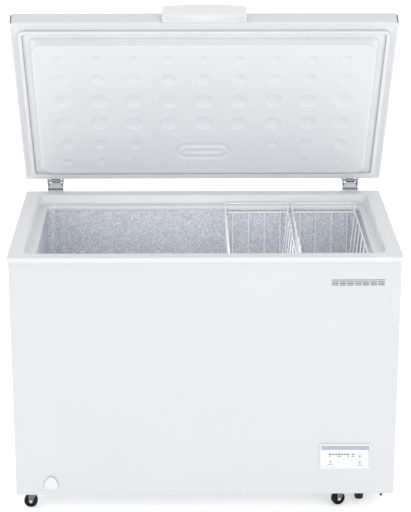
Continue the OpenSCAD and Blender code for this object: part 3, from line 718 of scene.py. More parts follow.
class Finish(Enum):
    """Every finish of the freezer."""

    PAINT = Coloured("white_powder_paint", (0.665, 0.675, 0.69), (0.64, 0.65, 0.668), Coat.POWDER,
                     0.36, 0.15)
    PLASTIC = Coloured("white_moulding", (0.76, 0.77, 0.78), (0.73, 0.74, 0.755), Coat.MOULDED,
                       0.42)
    LID_PLASTIC = Coloured("lid_moulding", (0.72, 0.732, 0.75), (0.69, 0.702, 0.722), Coat.MOULDED,
                           0.38)
    WIRE = Coloured("dipped_wire", (0.95, 0.95, 0.95), (0.90, 0.90, 0.91), Coat.DIPPED, 0.32, 0.3)
    BLACK_PLASTIC = Coloured("black_moulding", (0.010, 0.010, 0.012), (0.02, 0.02, 0.022),
                             Coat.MOULDED, 0.45, shine=0.25)
    BLACK_PAINT = Coloured("black_paint", (0.012, 0.012, 0.013), (0.022, 0.022, 0.024),
                           Coat.POWDER, 0.35, 0.2)
    TYRE = Coloured("wheel_plastic", (0.006, 0.006, 0.007), (0.014, 0.014, 0.015), Coat.RUBBER,
                    0.5, shine=0.2)
    RUBBER = Coloured("black_rubber", (0.015, 0.015, 0.015), (0.035, 0.035, 0.034), Coat.RUBBER,
                      0.75)
    GASKET = Coloured("gasket_vinyl", (0.74, 0.75, 0.77), (0.68, 0.69, 0.71), Coat.MOULDED, 0.5)
    FILM = Coloured("panel_film", (0.82, 0.83, 0.85), (0.78, 0.79, 0.82), Coat.DIPPED, 0.28, 0.2)
    # Blue-grey of the panel's strip and of the painted shade down its right-hand edge.
    STRIP = Coloured("panel_strip_and_painted_shade", (0.42, 0.46, 0.57), (0.37, 0.41, 0.52), Coat.DIPPED, 0.3)
    INK = Coloured("panel_ink", (0.16, 0.17, 0.20), (0.22, 0.23, 0.26), Coat.MOULDED, 0.5)
    LINE_INK = Coloured("panel_line", (0.50, 0.53, 0.60), (0.45, 0.48, 0.56), Coat.MOULDED, 0.5)
    EMBLEM = Metal("emblem_metal", (0.20, 0.20, 0.21), (0.10, 0.10, 0.11), Grain.DRAWN, 0.35)
    # Its tone is the colour of the painted glints, and its shade the darker painted reflection
    # between them.
    STUCCO = Metal("stucco_aluminium", (0.93, 0.95, 0.98), (0.47, 0.50, 0.57), Grain.STUCCO,
                   0.38, 0.40)
    GALVANISED = Metal("galvanised_sheet", (0.66, 0.68, 0.70), (0.46, 0.48, 0.50), Grain.SPANGLE,
                       0.42)
    ZINC = Metal("zinc_plate", (0.60, 0.62, 0.65), (0.44, 0.46, 0.50), Grain.PLATED, 0.34)
    YOKE = Metal("fork_plate", (0.20, 0.21, 0.24), (0.11, 0.12, 0.14), Grain.PLATED, 0.30)
    STEEL = Metal("pressed_steel", (0.70, 0.71, 0.73), (0.50, 0.51, 0.53), Grain.DRAWN, 0.32)
    COPPER = Metal("copper_tube", (0.78, 0.42, 0.26), (0.52, 0.27, 0.17), Grain.DRAWN, 0.35)
    FOAM = Foam()
    BOARD = Board()
    LENS = Lens("lamp_lens", (0.55, 0.75, 0.55))


class Slot(Enum):
    """The record's material slots."""

    WHITE_PAINT = "white_paint"
    WHITE_PLASTIC = "white_plastic"
    LID_PLASTIC = "lid_plastic"
    GALVANISED = "galvanised"
    STUCCO = "stucco_aluminium"
    BLACK_PLASTIC = "black_plastic"
    WHEEL = "wheel_plastic"
    ZINC = "zinc"
    FILM = "panel_film"
    GASKET = "gasket_vinyl"
    WIRE = "coated_wire"


SLOTS: dict[Finish, Slot] = {
    Finish.PAINT: Slot.WHITE_PAINT, Finish.PLASTIC: Slot.WHITE_PLASTIC,
    Finish.LID_PLASTIC: Slot.LID_PLASTIC, Finish.GALVANISED: Slot.GALVANISED,
    Finish.STUCCO: Slot.STUCCO, Finish.BLACK_PLASTIC: Slot.BLACK_PLASTIC,
    Finish.RUBBER: Slot.BLACK_PLASTIC, Finish.TYRE: Slot.WHEEL, Finish.ZINC: Slot.ZINC,
    Finish.YOKE: Slot.ZINC, Finish.STEEL: Slot.ZINC, Finish.FILM: Slot.FILM,
    Finish.STRIP: Slot.FILM, Finish.INK: Slot.FILM, Finish.LINE_INK: Slot.FILM,
    Finish.GASKET: Slot.GASKET, Finish.WIRE: Slot.WIRE,
}


@dataclass
class Paintbox:
    """Makes each finish once and hands it out."""

    made: dict[Finish, bpy.types.Material] = field(default_factory=dict)

    def get(self, finish: Finish) -> bpy.types.Material:
        """The material of a finish."""
        if finish not in self.made:
            self.made[finish] = finish.value.make()
        return self.made[finish]


PAINTS = Paintbox()


def piece(name: str, surface: Surface, finish: Finish, node: str | None = None,
          body: str = "cabinet", crease: float = 35.0) -> bpy.types.Object:
    """Makes a finished piece of a surface given in millimetres.

    In words: the points go into a mesh in metres, doubles are merged, faces are turned outwards,
    and edges sharper than the crease angle stay sharp.

    Args:
        name: Name of the piece.
        surface: Its surface.
        finish: Its finish.
        node: The model's node that it stands for.
        body: The body that it rides on.
        crease: Angle of a sharp edge, in degrees.

    Returns:
        The object.
    """
    mesh = bpy.data.meshes.new(name)
    faces = [f for block in surface.faces for f in block.tolist()]
    mesh.from_pydata((surface.points * MM).tolist(), [], faces)
    made = bmesh.new()
    made.from_mesh(mesh)
    bmesh.ops.remove_doubles(made, verts=made.verts, dist=WELD)
    bmesh.ops.dissolve_degenerate(made, edges=made.edges, dist=WELD)
    bmesh.ops.recalc_face_normals(made, faces=made.faces)
    made.to_mesh(mesh)
    made.free()
    mesh.shade_smooth()
    mesh.set_sharp_from_angle(angle=math.radians(crease))
    mesh.materials.append(PAINTS.get(finish))
    obj = bpy.data.objects.new(name, mesh)
    bpy.context.scene.collection.objects.link(obj)
    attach(obj, body)
    if node:
        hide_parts(node)
    finish in SLOTS
    log.info("%s: %d faces on %s", name, len(mesh.polygons), body)
    return obj


# ---- the freezer's main sizes ----


@dataclass(frozen=True)
class Sizes:
    """Sizes shared by several sub-assemblies, in millimetres."""

    front_y: float = -348.0
    rear_y: float = 312.0
    rim_low: float = 775.0
    rim_top: float = 791.5
    ledge: float = 761.5
    skirt_low: float = 747.0
    wall: float = 2.5
    pivot_y: float = 343.8
    pivot_z: float = 817.4
    lid_angle: float = 58.1
    lid_low: float = 798.5
    lid_top: float = 846.2
    liner_floor: float = 113.0
    step_x: float = 250.0
    step_top: float = 328.0
    hinge_x: float = 470.0


S = Sizes()
LIP = Rect(-562, 562, -352, 316, 10)
THROAT = Rect(-516, 516, -310, 272, 28)
SKIRT = Rect(-491, 491, -286, 249, 23.5)
LINER = Rect(-493.5, 493.5, -288.5, 251.5, 26)


def on_lid(p: Array) -> Array:
    """Turns points of the closed lid about the hinge pins to the angle at which it is held.

    Args:
        p: Points of the closed lid as rows of x, y, z.

    Returns:
        The turned points.
    """
    a = -math.radians(S.lid_angle)
    y, z = p[:, 1] - S.pivot_y, p[:, 2] - S.pivot_z
    return np.column_stack([p[:, 0], S.pivot_y + y * math.cos(a) - z * math.sin(a),
                            S.pivot_z + y * math.sin(a) + z * math.cos(a)])


def frame_ring(outer: Rect, inner: Rect, z0: float, z1: float, edge: float = 0.8,
               corner: int = 8) -> Surface:
    """A flat ring between two outlines, with all four of its edges rounded.

    In words: a rectangle with quarter rounds at its corners is carried round, from the outer
    outline to the inner one.

    Args:
        outer: Outline outside.
        inner: Outline inside.
        z0: Height of the lower face.
        z1: Height of the upper face.
        edge: Radius of the edges.
        corner: Steps round each corner of the outlines.

    Returns:
        A closed surface.
    """
    rows = []
    for c, s in quarter(-90, 90, 9):
        z = z0 + edge * (1 + s) if s < 0 else z1 - edge * (1 - s)
        rows.append(outer.inset(edge * (1 - c)).loop(z, corner))
    for c, s in quarter(90, -90, 9):
        z = z0 + edge * (1 + s) if s < 0 else z1 - edge * (1 - s)
        rows.append(inner.inset(-edge * (1 - c)).loop(z, corner))
    return skin(np.array(rows), close=True)


# ---- cabinet ----


@dataclass
class Rim:
    """Moulded rim: outer lip, flat top, throat, basket ledge and the skirt over the liner."""

    lip_edge: float = 3.0
    throat_edge: float = 3.5
    ledge_edge: float = 5.0
    corner: int = 14

    def profile(self) -> list[tuple[Rect, float]]:
        """Outlines from the lip's lower edge over the rim and back underneath.

        In words: the lip goes up past a fine shadow groove and a small step to a quarter round,
        the top falls very slightly towards the throat, whose edge is a larger quarter round, the
        ledge starts with a hollow quarter round, and the wall's underside runs back alongside.

        Returns:
            Each outline with its height.
        """
        top, low, w = S.rim_top, S.rim_low, S.wall
        rows = [(LIP.inset(w), low), (LIP.inset(0.9), low), (LIP, low + 0.9), (LIP, low + 3.2),
                (LIP.inset(0.8), low + 3.7), (LIP.inset(0.8), low + 4.7), (LIP, low + 5.2)]
        rows += [(LIP.inset(self.lip_edge * (1 - c)), top - self.lip_edge * (1 - s))
                 for c, s in quarter(0, 90, 6)]
        rows += [(LIP.inset(7.0), top), (LIP.inset(8.0), top - 0.3), (LIP.inset(24.0), top - 0.3)]
        e = self.throat_edge
        rows += [(THROAT.inset(-e * (1 - c)), top - 0.3 - e * (1 - s))
                 for c, s in quarter(90, 0, 7)]
        f = self.ledge_edge
        rows += [(THROAT.inset(f * (1 - c)), S.ledge + f * (1 + s))
                 for c, s in quarter(0, -90, 7)]
        rows += [(THROAT.toward(SKIRT, 0.55), S.ledge), (THROAT.toward(SKIRT, 0.62), S.ledge - 0.5)]
        rows += [(SKIRT.inset(-w * (1 - c)), S.ledge - 0.5 - w * (1 - s))
                 for c, s in quarter(90, 0, 5)]
        rows += [(SKIRT, S.skirt_low + 0.6), (SKIRT.inset(-0.6), S.skirt_low),
                 (SKIRT.inset(-w + 0.2), S.skirt_low), (SKIRT.inset(-w + 0.2), S.ledge - w - 0.8),
                 (THROAT.inset(-w), S.ledge - w), (THROAT.inset(-w), top - w - 6.0),
                 (THROAT.inset(-w - 6.0), top - w - 0.8), (LIP.inset(w), top - w)]
        return rows

    def build(self) -> None:
        """Builds the rim."""
        rows = np.array([r.loop(z, self.corner, 24, 16) for r, z in self.profile()])
        piece("rim_moulding", skin(rows, close=True), Finish.PLASTIC, "rim_frame", crease=50.0)


@dataclass
class Liner:
    """Embossed aluminium tub with pressed folds by its upright corners and a step inside."""

    corner: int = 20
    along: int = 110
    across: int = 60
    fold_from: float = 30.0

    def folded(self, outline: Rect, z: float) -> Array:
        """A loop of the tub's wall with its upright folds.

        In words: beside each corner, over a narrow band, the wall stands inwards by a flat-topped
        bead with a groove on either side of it.

        Args:
            outline: Outline of the wall.
            z: Height of the loop.

        Returns:
            Points as rows of x, y, z.
        """
        p = outline.loop(z, self.corner, self.along, self.across)
        reach = outline.x1 - self.fold_from - np.abs(p[:, 0])
        bead = smooth_step(1 - np.abs(reach - 12) / 9) * 2.2 - smooth_step(
            1 - np.abs(reach - 26) / 4) * 1.2 - smooth_step(1 - np.abs(reach + 1) / 4) * 1.2
        on_wall = np.minimum(np.abs(p[:, 1] - outline.y0), np.abs(p[:, 1] - outline.y1)) < 0.5
        inward = np.where(np.abs(p[:, 1] - outline.y0) < 0.5, 1.0, -1.0)
        p[:, 1] += np.where(on_wall, bead * inward, 0.0)
        return p

    def build(self) -> None:
        """Builds the tub: its upper wall, the step's shelf, and the deep part beside it."""
        top, z_step, z_floor = 753.0, S.step_top, S.liner_floor
        upper = np.array([self.folded(LINER, z) for z in (top, 600.0, 450.0, z_step)]
                         + [self.folded(LINER.inset(-1.0), z) for z in (z_step, 450.0, 600.0, top)])
        deep = Rect(LINER.x0, S.step_x, LINER.y0, LINER.y1, 26)
        wall, out = [(deep, z_step - 8), (deep, 220.0)], 14.0
        wall += [(deep.inset(out * (1 - c)), z_floor + out * (1 + s))
                 for c, s in quarter(0, -90, 7)]
        centre = deep.inset(200.0, 12.0)
        wall.append((centre, z_floor))
        back = [(centre, z_floor - 1.0)] + [(r.inset(-1.0), z - 1.0) for r, z in wall[-2::-1]]
        tub = skin(np.array([r.loop(z, self.corner, 24, 24) for r, z in wall + back]), close=True)
        floor = slab(centre.inset(-2.0), z_floor - 0.9, z_floor - 0.02, 0.3, self.corner)
        nose = quarter(90, 180, 7) * 8.0 + np.array([S.step_x + 8.0, z_step - 8.0])
        line = np.concatenate([[[LINER.x1 - 0.6, z_step]], nose])
        inner = line + np.array([0.9, -0.9])
        shelf = swept(np.concatenate([line, inner[::-1]]), (LINER.y0 + 0.4, LINER.y1 - 0.4), 1)
        piece("liner_tub", joined([skin(upper, close=True), tub, floor, shelf]), Finish.STUCCO,
              "inner_liner", crease=40.0)


@dataclass
class Back:
    """Rear panel with pressed ribs, the vented cover over the compressor, and the cord's gland."""

    ribs: tuple[float, ...] = (-390.0, -260.0, -130.0, 0.0, 130.0, 260.0, 390.0)

    def panel(self) -> Surface:
        """Rear panel over the insulation.

        In words: a fine grid in X and Z that stands out by 0.6 mm less inside long upright
        pressings with rounded flanks.

        Returns:
            A closed surface.
        """
        x = np.linspace(-549.0, 549.0, 441)
        z = np.linspace(54.0, 786.0, 60)
        gx, gz = np.meshgrid(x, z)
        rib = np.zeros_like(gx)
        for centre in self.ribs:
            low = 300.0 if centre > 200.0 else 90.0
            ends = smooth_step((gz - low) / 12) * smooth_step((735.0 - gz) / 12)
            rib = np.maximum(rib, smooth_step((16 - np.abs(gx - centre)) / 7) * ends)
        front, gauge = np.stack([gx, 311.3 - rib * 0.6, gz], -1), np.array([0.0, 0.7, 0.0])
        sheet = skin(np.concatenate([front, front[::-1] - gauge]), ring=False, close=True)
        edges = [skin(np.stack([front[:, k], front[:, k] - gauge]), ring=False) for k in (0, -1)]
        return joined([sheet, *edges])

    def cover(self) -> Surface:
        """Cover of the compressor compartment: a flat frame with a bank of pressed louvres.

        In words: the frame is a rounded ring, and each louvre is a long blade whose section is an
        arc that starts flush and leans outwards.

        Returns:
            A closed surface.
        """
        hole = Rect(360, 520, 88, 232, 4)
        parts = [upright(frame_ring(Rect(330, 536, 60.5, 258.5, 6), hole, -0.1, 1.2, 0.3), 311.9)]
        x = np.linspace(hole.x0 - 1, hole.x1 + 1, 12)
        arc = quarter(200, 290, 8)
        for z in np.arange(hole.y0 + 6, hole.y1 - 2, 11.0):
            outer = np.column_stack([309.5 + 2.4 * (arc[:, 0] + 1.0), z + 7 * (arc[:, 1] + 1.0)])
            inner = outer[::-1] + np.array([-0.7, 0.5])
            parts.append(swept(np.concatenate([outer, inner]), x))
        return joined(parts)

    def gland(self) -> Surface:
        """Ribbed gland for the cord: a flange and a tapered sleeve with rings, bored through."""
        sleeve = [(9.0 - 0.15 * k - (0.9 if k % 4 in (2, 3) else 0.0), 3.0 + k) for k in range(18)]
        outline = [(4.0, -6.0), (8.0, -6.0), (8.0, 0.0), (12.4, 0.0), (13.0, 0.6), (13.0, 2.4),
                   (12.4, 3.0), *sleeve, (5.4, 21.0), (4.0, 21.0), (4.0, -6.0)]
        return turned(outline, 40, "y").moved(354.0, S.rear_y, 112.0)

    def build(self) -> None:
        """Builds the back."""
        piece("rear_sheet", self.panel(), Finish.GALVANISED, "rear_panel")
        piece("louvred_cover", self.cover(), Finish.GALVANISED, "rear_cover")
        piece("gland_sleeve", self.gland(), Finish.RUBBER, "cord_gland")


@dataclass
class SideGrille:
    """Vent in the right-hand end: a raised frame with upright slats."""

    outline: Rect = Rect(-124, 164, 78, 246, 7)
    hole: Rect = Rect(-106, 146, 98, 226, 4)
    slats: int = 22
    face: float = 558.0

    def build(self) -> None:
        """Builds the frame and its slats, each a leaning blade with rounded edges."""
        parts = [sideways(frame_ring(self.outline, self.hole, 0.0, 2.0, 0.7), self.face)]
        pitch = (self.hole.x1 - self.hole.x0) / self.slats
        for k in range(self.slats):
            y = self.hole.x0 + (k + 0.5) * pitch
            section = np.array([(1.2, -3.4), (1.6, -2.6), (-3.0, 3.2), (-3.8, 3.4), (-4.2, 2.8),
                                (0.4, -3.4)]) + np.array([self.face, y])
            parts.append(swept(section, (self.hole.y0 - 1, 130.0, 162.0, 194.0,
                                         self.hole.y1 + 1), 2))
        parts += [sideways(slab(Rect(self.hole.x0 - 1, self.hole.x1 + 1, z - 2, z + 2, 1), -4.5,
                                -0.5, 0.4, 3), self.face) for z in (140.0, 184.0)]
        piece("side_louvres", joined(parts), Finish.PLASTIC, "side_grille")


@dataclass
class Drain:
    """Drain at the lower left: a spout that slides out, its three-sided cap and the floor plug."""

    x: float = -454.0
    z: float = 89.0
    sides: int = 96

    def cap(self) -> Surface:
        """Cap with three rounded corners and a dished face.

        In words: the radius of the outline swings three times round, and rings of it shrink
        towards the middle while the face sinks by a shallow bowl.

        Returns:
            A closed surface.
        """
        a = np.linspace(0, 2 * math.pi, self.sides, endpoint=False)
        swing = 19.5 + 1.5 * np.cos(3 * (a - math.pi / 2)) + 0.2 * np.cos(6 * (a - math.pi / 2))
        outline = np.column_stack([swing * np.cos(a), swing * np.sin(a) * 1.08 - 1.0])
        rows = [np.insert(outline * share, 1, y, axis=1) for share, y in (
            (0.4, -350.4), (0.97, -350.4), (1.0, -350.9), (1.0, -352.0), (0.985, -352.6),
            (0.95, -352.95), (0.90, -352.9), (0.85, -352.2), (0.7, -351.9), (0.4, -351.8),
            (0.05, -351.8))]
        stem = turned([(0.1, -351.0), (5.2, -351.0), (5.2, -341.0), (0.1, -341.0)], 32, "y")
        return joined([skin(np.array(rows), caps=True), stem]).moved(self.x, 0.0, self.z)

    def build(self) -> None:
        """Builds the cap, the spout and the plug."""
        piece("drain_cap_shell", self.cap(), Finish.PLASTIC, "drain_cap", "drain_cap")
        spout = [(5.5, -350.0), (6.6, -350.0), (7.0, -349.6), (7.0, -300.0), (7.4, -299.0),
                 (7.0, -298.0), (7.0, -288.4), (6.6, -288.0), (5.5, -288.0), (5.5, -350.0)]
        piece("drain_spout_tube", turned(spout, 40, "y").moved(self.x, 0.0, self.z),
              Finish.PLASTIC, "drain_spout", "drain_spout")
        head = [(0.1, 98.5), (8.0, 98.5), (8.6, 99.5), (8.4, 112.0), (15.0, 113.3),
                (16.0, 114.0), (16.0, 115.4), (15.0, 116.3), (0.1, 116.3)]
        grip = slab(Rect(-2, 2, -8, 8, 1.5), 115.5, 125.0, 1.2, 5)
        plug = turned(head, 40).plus(grip).moved(self.x, -228.0, 0.0)
        piece("drain_plug_stopper", plug, Finish.PLASTIC, "drain_plug", "drain_plug")


# ---- lid ----


@dataclass
class Lid:
    """Lid: pressed shell, edge frame with end trims, moulded inner face, core and gasket."""

    outline: Rect = Rect(-562, 562, -352.5, 316, 12)
    flange: Rect = Rect(-531, 531, -314.5, 288, 12)
    foot: Rect = Rect(-510, 510, -297.5, 266, 16)
    frame_high: float = 9.2
    plateau: float = 28.0
    columns: tuple[float, ...] = (0.0, 105.0, 210.0, 315.0, 420.0)
    rows: tuple[tuple[float, float], ...] = ((-233.0, 27.0), (-153.0, 40.0), (-62.0, 51.0),
                                             (33.0, 51.0), (125.0, 39.0), (204.0, 26.0))
    dish: float = 3.4
    oval_y: float = 157.0

    def shell(self) -> Surface:
        """Outer skin.

        In words: a wall up from the frame, a rounded top edge, and a top that rises by a
        millimetre and a half towards the middle; the inside runs 0.8 mm within.

        Returns:
            A closed surface.
        """
        o, z0, z1, e = self.outline.inset(1.0), S.lid_low + self.frame_high, S.lid_top, 5.0
        out = [(o, z0), (o, z1 - e - 1.5)]
        out += [(o.inset(e * (1 - c)), z1 - 1.5 - e * (1 - s)) for c, s in quarter(15, 90, 6)]
        out += [(o.inset(d), z1 - 1.5 + 1.5 * (1 - (1 - min(d, 160) / 160) ** 2))
                for d in (12, 30, 60, 110, 160, 240)]
        middle = o.inset((o.y1 - o.y0) / 2 - 0.01, 0.01)
        back = [(r.inset(0.8), z - 0.8 if z > z0 else z) for r, z in reversed(out)]
        out += [(middle, z1), (middle, z1 - 0.8), *back]
        return skin(np.array([r.loop(z, 10, 20, 12) for r, z in out]), close=True)

    def frame(self) -> Surface:
        """Edge frame round the inner face.

        In words: a flat outer strip, a fine step, a hollow channel and a rounded inner bead,
        carried round the outline; its front face stands a little behind the end trims.

        Returns:
            A closed surface.
        """
        o, f, z0, z1 = self.outline.inset(0.6), self.flange, S.lid_low, S.lid_low + self.frame_high
        rows = [(o.inset(1.4), z1), (o, z1 - 0.5), (o, z0 + 1.2), (o.inset(0.4), z0 + 0.35),
                (o.inset(1.3), z0)]
        hollow = ((0.22, 0.0), (0.245, 1.0), (0.30, 1.6), (0.45, 3.0), (0.60, 3.4), (0.78, 2.6),
                  (0.88, 1.2), (0.93, 0.4), (0.965, 0.1), (1.0, 0.6))
        rows += [(o.toward(f, t), z0 + d) for t, d in hollow]
        rows += [(f, z0 + 2.0), (f, z1 - 0.3), (f.inset(-1.0), z1)]
        return skin(np.array([r.loop(z, 10, 20, 12) for r, z in rows]), close=True)

    def end_trim(self) -> Surface:
        """Trim along the right-hand end: a slim channel that ends in small raised tips.

        Returns:
            A closed surface.
        """
        y = np.concatenate([np.linspace(-352.5, -346.0, 6), np.linspace(-300, 280, 8),
                            np.linspace(309.0, 316.0, 6)])
        tip = smooth_step(1 - (y + 352.5) / 7) + smooth_step(1 - (316.0 - y) / 7)
        rows = []
        for v, t in zip(y, tip):
            x0 = 556.6 - 2.0 * t
            section = np.array([(x0, 0.35), (x0 + 0.5, -0.1), (561.4, -0.1), (562.0, 0.5),
                                (562.0, 45.0), (561.5, 46.4), (560.6, 46.4), (560.6, 2.0),
                                (x0, 1.6)])
            rows.append(np.insert(section + np.array([0.0, S.lid_low]), 1, v, axis=1))
        return skin(np.array(rows), caps=True)

    def face_depth(self, x: Array, y: Array) -> Array:
        """How deep the plateau's face is pressed in at a point, negative where it stands out.

        In words: every dimple is a shallow bowl with a crisp lip, and the long round-ended
        recess has a flat floor, a ridge round its middle and a slot inside the ridge.

        Args:
            x: Places across the lid.
            y: Places from front to back.

        Returns:
            The depth at each place.
        """
        depth = np.zeros_like(x)
        for v, wide in self.rows:
            for u in self.columns:
                if v > 100.0 and u < 200.0:
                    continue
                for side in (-1.0, 1.0):
                    q = np.hypot(x - side * u, y - v) / (wide / 2)
                    bowl = self.dish * (wide / 51) ** 0.5 * np.clip(1 - q**2, 0, 1) ** 0.55
                    depth = np.maximum(depth, bowl)
        q = np.hypot(np.maximum(np.abs(x) - 50.0, 0.0), y - self.oval_y)
        recess = 3.2 * smooth_step((37.0 - q) / 6)
        ridge = 3.4 * smooth_step((21.5 - q) / 5)
        slot = 3.0 * smooth_step((9.5 - q) / 3.5)
        return depth + np.where(q < 40, recess - ridge + slot, 0.0)

    def inner_face(self) -> Surface:
        """Inner face: the flange, the sloping wall, and the plateau with its pressings.

        In words: outlines go in over the flange, down the wall through a hollow and a full round,
        and on inwards to the middle line, and the plateau's points are pressed in by the face's
        depth; a plain back runs behind them.

        Returns:
            A closed surface.
        """
        z0, h, corner, along, across = S.lid_low, self.plateau, 22, 260, 140
        face = Rect(self.foot.x0 + 7, self.foot.x1 - 7, self.foot.y0 + 8, self.foot.y1 - 6, 32)
        rows = [(self.flange.inset(0.9), z0 + 6.0), (self.flange.inset(0.9), z0 + 0.8),
                (self.flange.inset(1.6), z0 + 0.1), (self.flange.toward(self.foot, 0.45), z0),
                (self.flange.toward(self.foot, 0.5), z0 - 0.6)]
        rows += [(self.foot.inset(-3 * (1 + s)), z0 - 0.6 - 3 * (1 - c))
                 for c, s in quarter(90, 0, 5)[::-1] * np.array([1, -1])]
        e = 6.0
        rows += [(self.foot.toward(face, t), z0 - 3.6 - t * (h - 3.6 - e)) for t in (0.2, 0.5, 0.8)]
        rows += [(face.inset(e * (1 - c), 32 - e * (1 - c) * 0.5), z0 - h + e * (1 - s))
                 for c, s in quarter(0, 90, 8)]
        inner = face.inset(e, 29.0)
        half = (inner.y1 - inner.y0) / 2 - 0.01
        rows += [(inner.inset(d, max(29.0 * (1 - d / 60), 0.01)), z0 - h)
                 for d in np.linspace(3.2, half, 74)]
        loops = np.array([r.loop(z, corner, along, across) for r, z in rows])
        deep = self.face_depth(loops[..., 0], loops[..., 1])
        loops[..., 2] += np.where(loops[..., 2] < z0 - h + 0.05, deep, 0.0)
        back = [(inner.inset(half, 0.01), z0 - h + 8), (inner, z0 - h + 8), (face, z0 - h + 12),
                (self.foot.inset(2.5), z0 + 1.5), (self.flange.inset(3.0), z0 + 1.5),
                (self.flange.inset(3.0), z0 + 6.0)]
        ends = np.array([r.loop(z, corner, along, across) for r, z in back])
        return skin(np.concatenate([loops, ends]), close=True)

    def insulation(self) -> Surface:
        """Poured core: a slab inside the shell with a lower block inside the plateau."""
        z0, z1 = S.lid_low, S.lid_top
        return joined([slab(self.outline.inset(2.2), z0 + self.frame_high, z1 - 2.6, 3.0),
                       slab(self.flange.inset(4.0), z0 + 1.7, z0 + self.frame_high + 1, 1.0),
                       slab(self.foot.inset(15.0, 20.0), z0 - self.plateau + 8.5, z0 + 4, 2.0)])

    def gasket(self) -> Surface:
        """Magnetic gasket.

        In words: a soft section with a flat magnet chamber on top, a narrow neck and a fin at its
        side, carried round the frame's inner channel.

        Returns:
            A closed surface.
        """
        centre = Rect(-535, 535, -318.5, 294, 14)
        section = np.array([(-5.2, 0.0), (-5.6, -1.2), (-4.6, -2.4), (-3.4, -3.0), (-5.0, -4.0),
                            (-5.4, -5.2), (-4.4, -6.2), (0.0, -6.45), (4.4, -6.2), (5.4, -5.2),
                            (5.0, -4.0), (3.2, -3.2), (4.4, -2.2), (5.0, -1.0), (4.6, 0.0)])
        rows = np.array([centre.inset(d).loop(S.lid_low + 0.2 + z, 12, 20, 12)
                         for d, z in section])
        return skin(rows, close=True)

    def build(self) -> None:
        """Builds the lid's pieces at the angle at which it is held."""
        trim = self.end_trim()
        for name, shape, finish, node, crease in (
                ("lid_shell", self.shell(), Finish.PAINT, "lid_skin", 50.0),
                ("lid_edge_frame", self.frame(), Finish.LID_PLASTIC, "lid_frame", 55.0),
                ("lid_end_trims", trim.plus(trim.mirrored()), Finish.LID_PLASTIC, None, 50.0),
                ("lid_inner_face", self.inner_face(), Finish.LID_PLASTIC, "lid_liner", 60.0),
                ("lid_core", self.insulation(), Finish.FOAM, "lid_foam", 35.0),
                ("lid_gasket_seal", self.gasket(), Finish.GASKET, "lid_gasket", 60.0)):
            piece(name, shape.placed(on_lid), finish, node, "lid", crease)


@dataclass
class Handle:
    """Bowed handle on the lid's front, scooped underneath for the fingers."""

    half: float = 121.5
    out: float = 26.0
    bow: float = 6.0
    low: float = 799.0
    high: float = 846.2
    face: float = -352.5
    middle: tuple[float, float] = (13.0, 823.0)
    end_share: float = 0.86
    squareness: int = 24

    def section(self, x: Array) -> tuple[Array, Array]:
        """The handle's section at each place along it.

        In words: from the lid's face the top runs out with a slight fall to a rounded nose, the
        nose turns down to the grip, and the scoop goes back up under it and down to the lid; near
        the ends the scoop flattens out, so that each end is closed.

        Args:
            x: Places along the handle.

        Returns:
            How far each point stands out, and its height, one row for each place.
        """
        t = np.abs(x) / self.half
        bow = 1 - t**2
        out = self.out + self.bow * bow
        scoop = smooth_step((1 - t) / 0.14)
        dip = 1 - 0.55 * (1 - t) * scoop
        depth = rows_of(x, -0.8, 0.45 * out, out - 7, out - 2.6, out - 0.5, out, out - 0.2,
                        out - 1.6, out - 4.2, out - 6.5 - 1.5 * scoop, out * 0.55, out * 0.30,
                        5.5, 2.5, -0.8)
        top, low = self.high, self.low
        height = rows_of(x, top, top, top - 0.1, top - 0.5, top - 2.6, top - 9.0,
                         low + 12 - 3 * scoop, low + 5 - 2 * scoop, low + 2.0 + 3 * scoop,
                         low + 1.5 + 14 * scoop, low + 0.8 + 20 * scoop * dip,
                         low + 0.6 + 17 * scoop * dip, low + 0.5 + 9 * scoop * dip,
                         low + 0.3, low)
        return depth, height

    def build(self) -> None:
        """Builds the handle with rounded ends and a fine subdivision."""
        x = self.half * np.sin(np.linspace(-math.pi / 2, math.pi / 2, 61))
        depth, height = self.section(x)
        ease = np.sqrt(np.clip(1 - (np.abs(x) / self.half) ** self.squareness, 0, 1))[:, None]
        shrink, (y, z) = self.end_share + (1 - self.end_share) * ease, self.middle
        depth, height = y + (depth - y) * shrink, z + (height - z) * shrink
        rows = np.stack([np.broadcast_to(x[:, None], depth.shape), self.face - depth, height], -1)
        made = piece("lid_handle_grip", skin(rows, caps=True).placed(on_lid), Finish.PLASTIC,
                     "lid_handle", "lid", 80.0)
        smooth = made.modifiers.new("smooth", "SUBSURF")
        smooth.levels = smooth.render_levels = 1


# ---- hinges ----


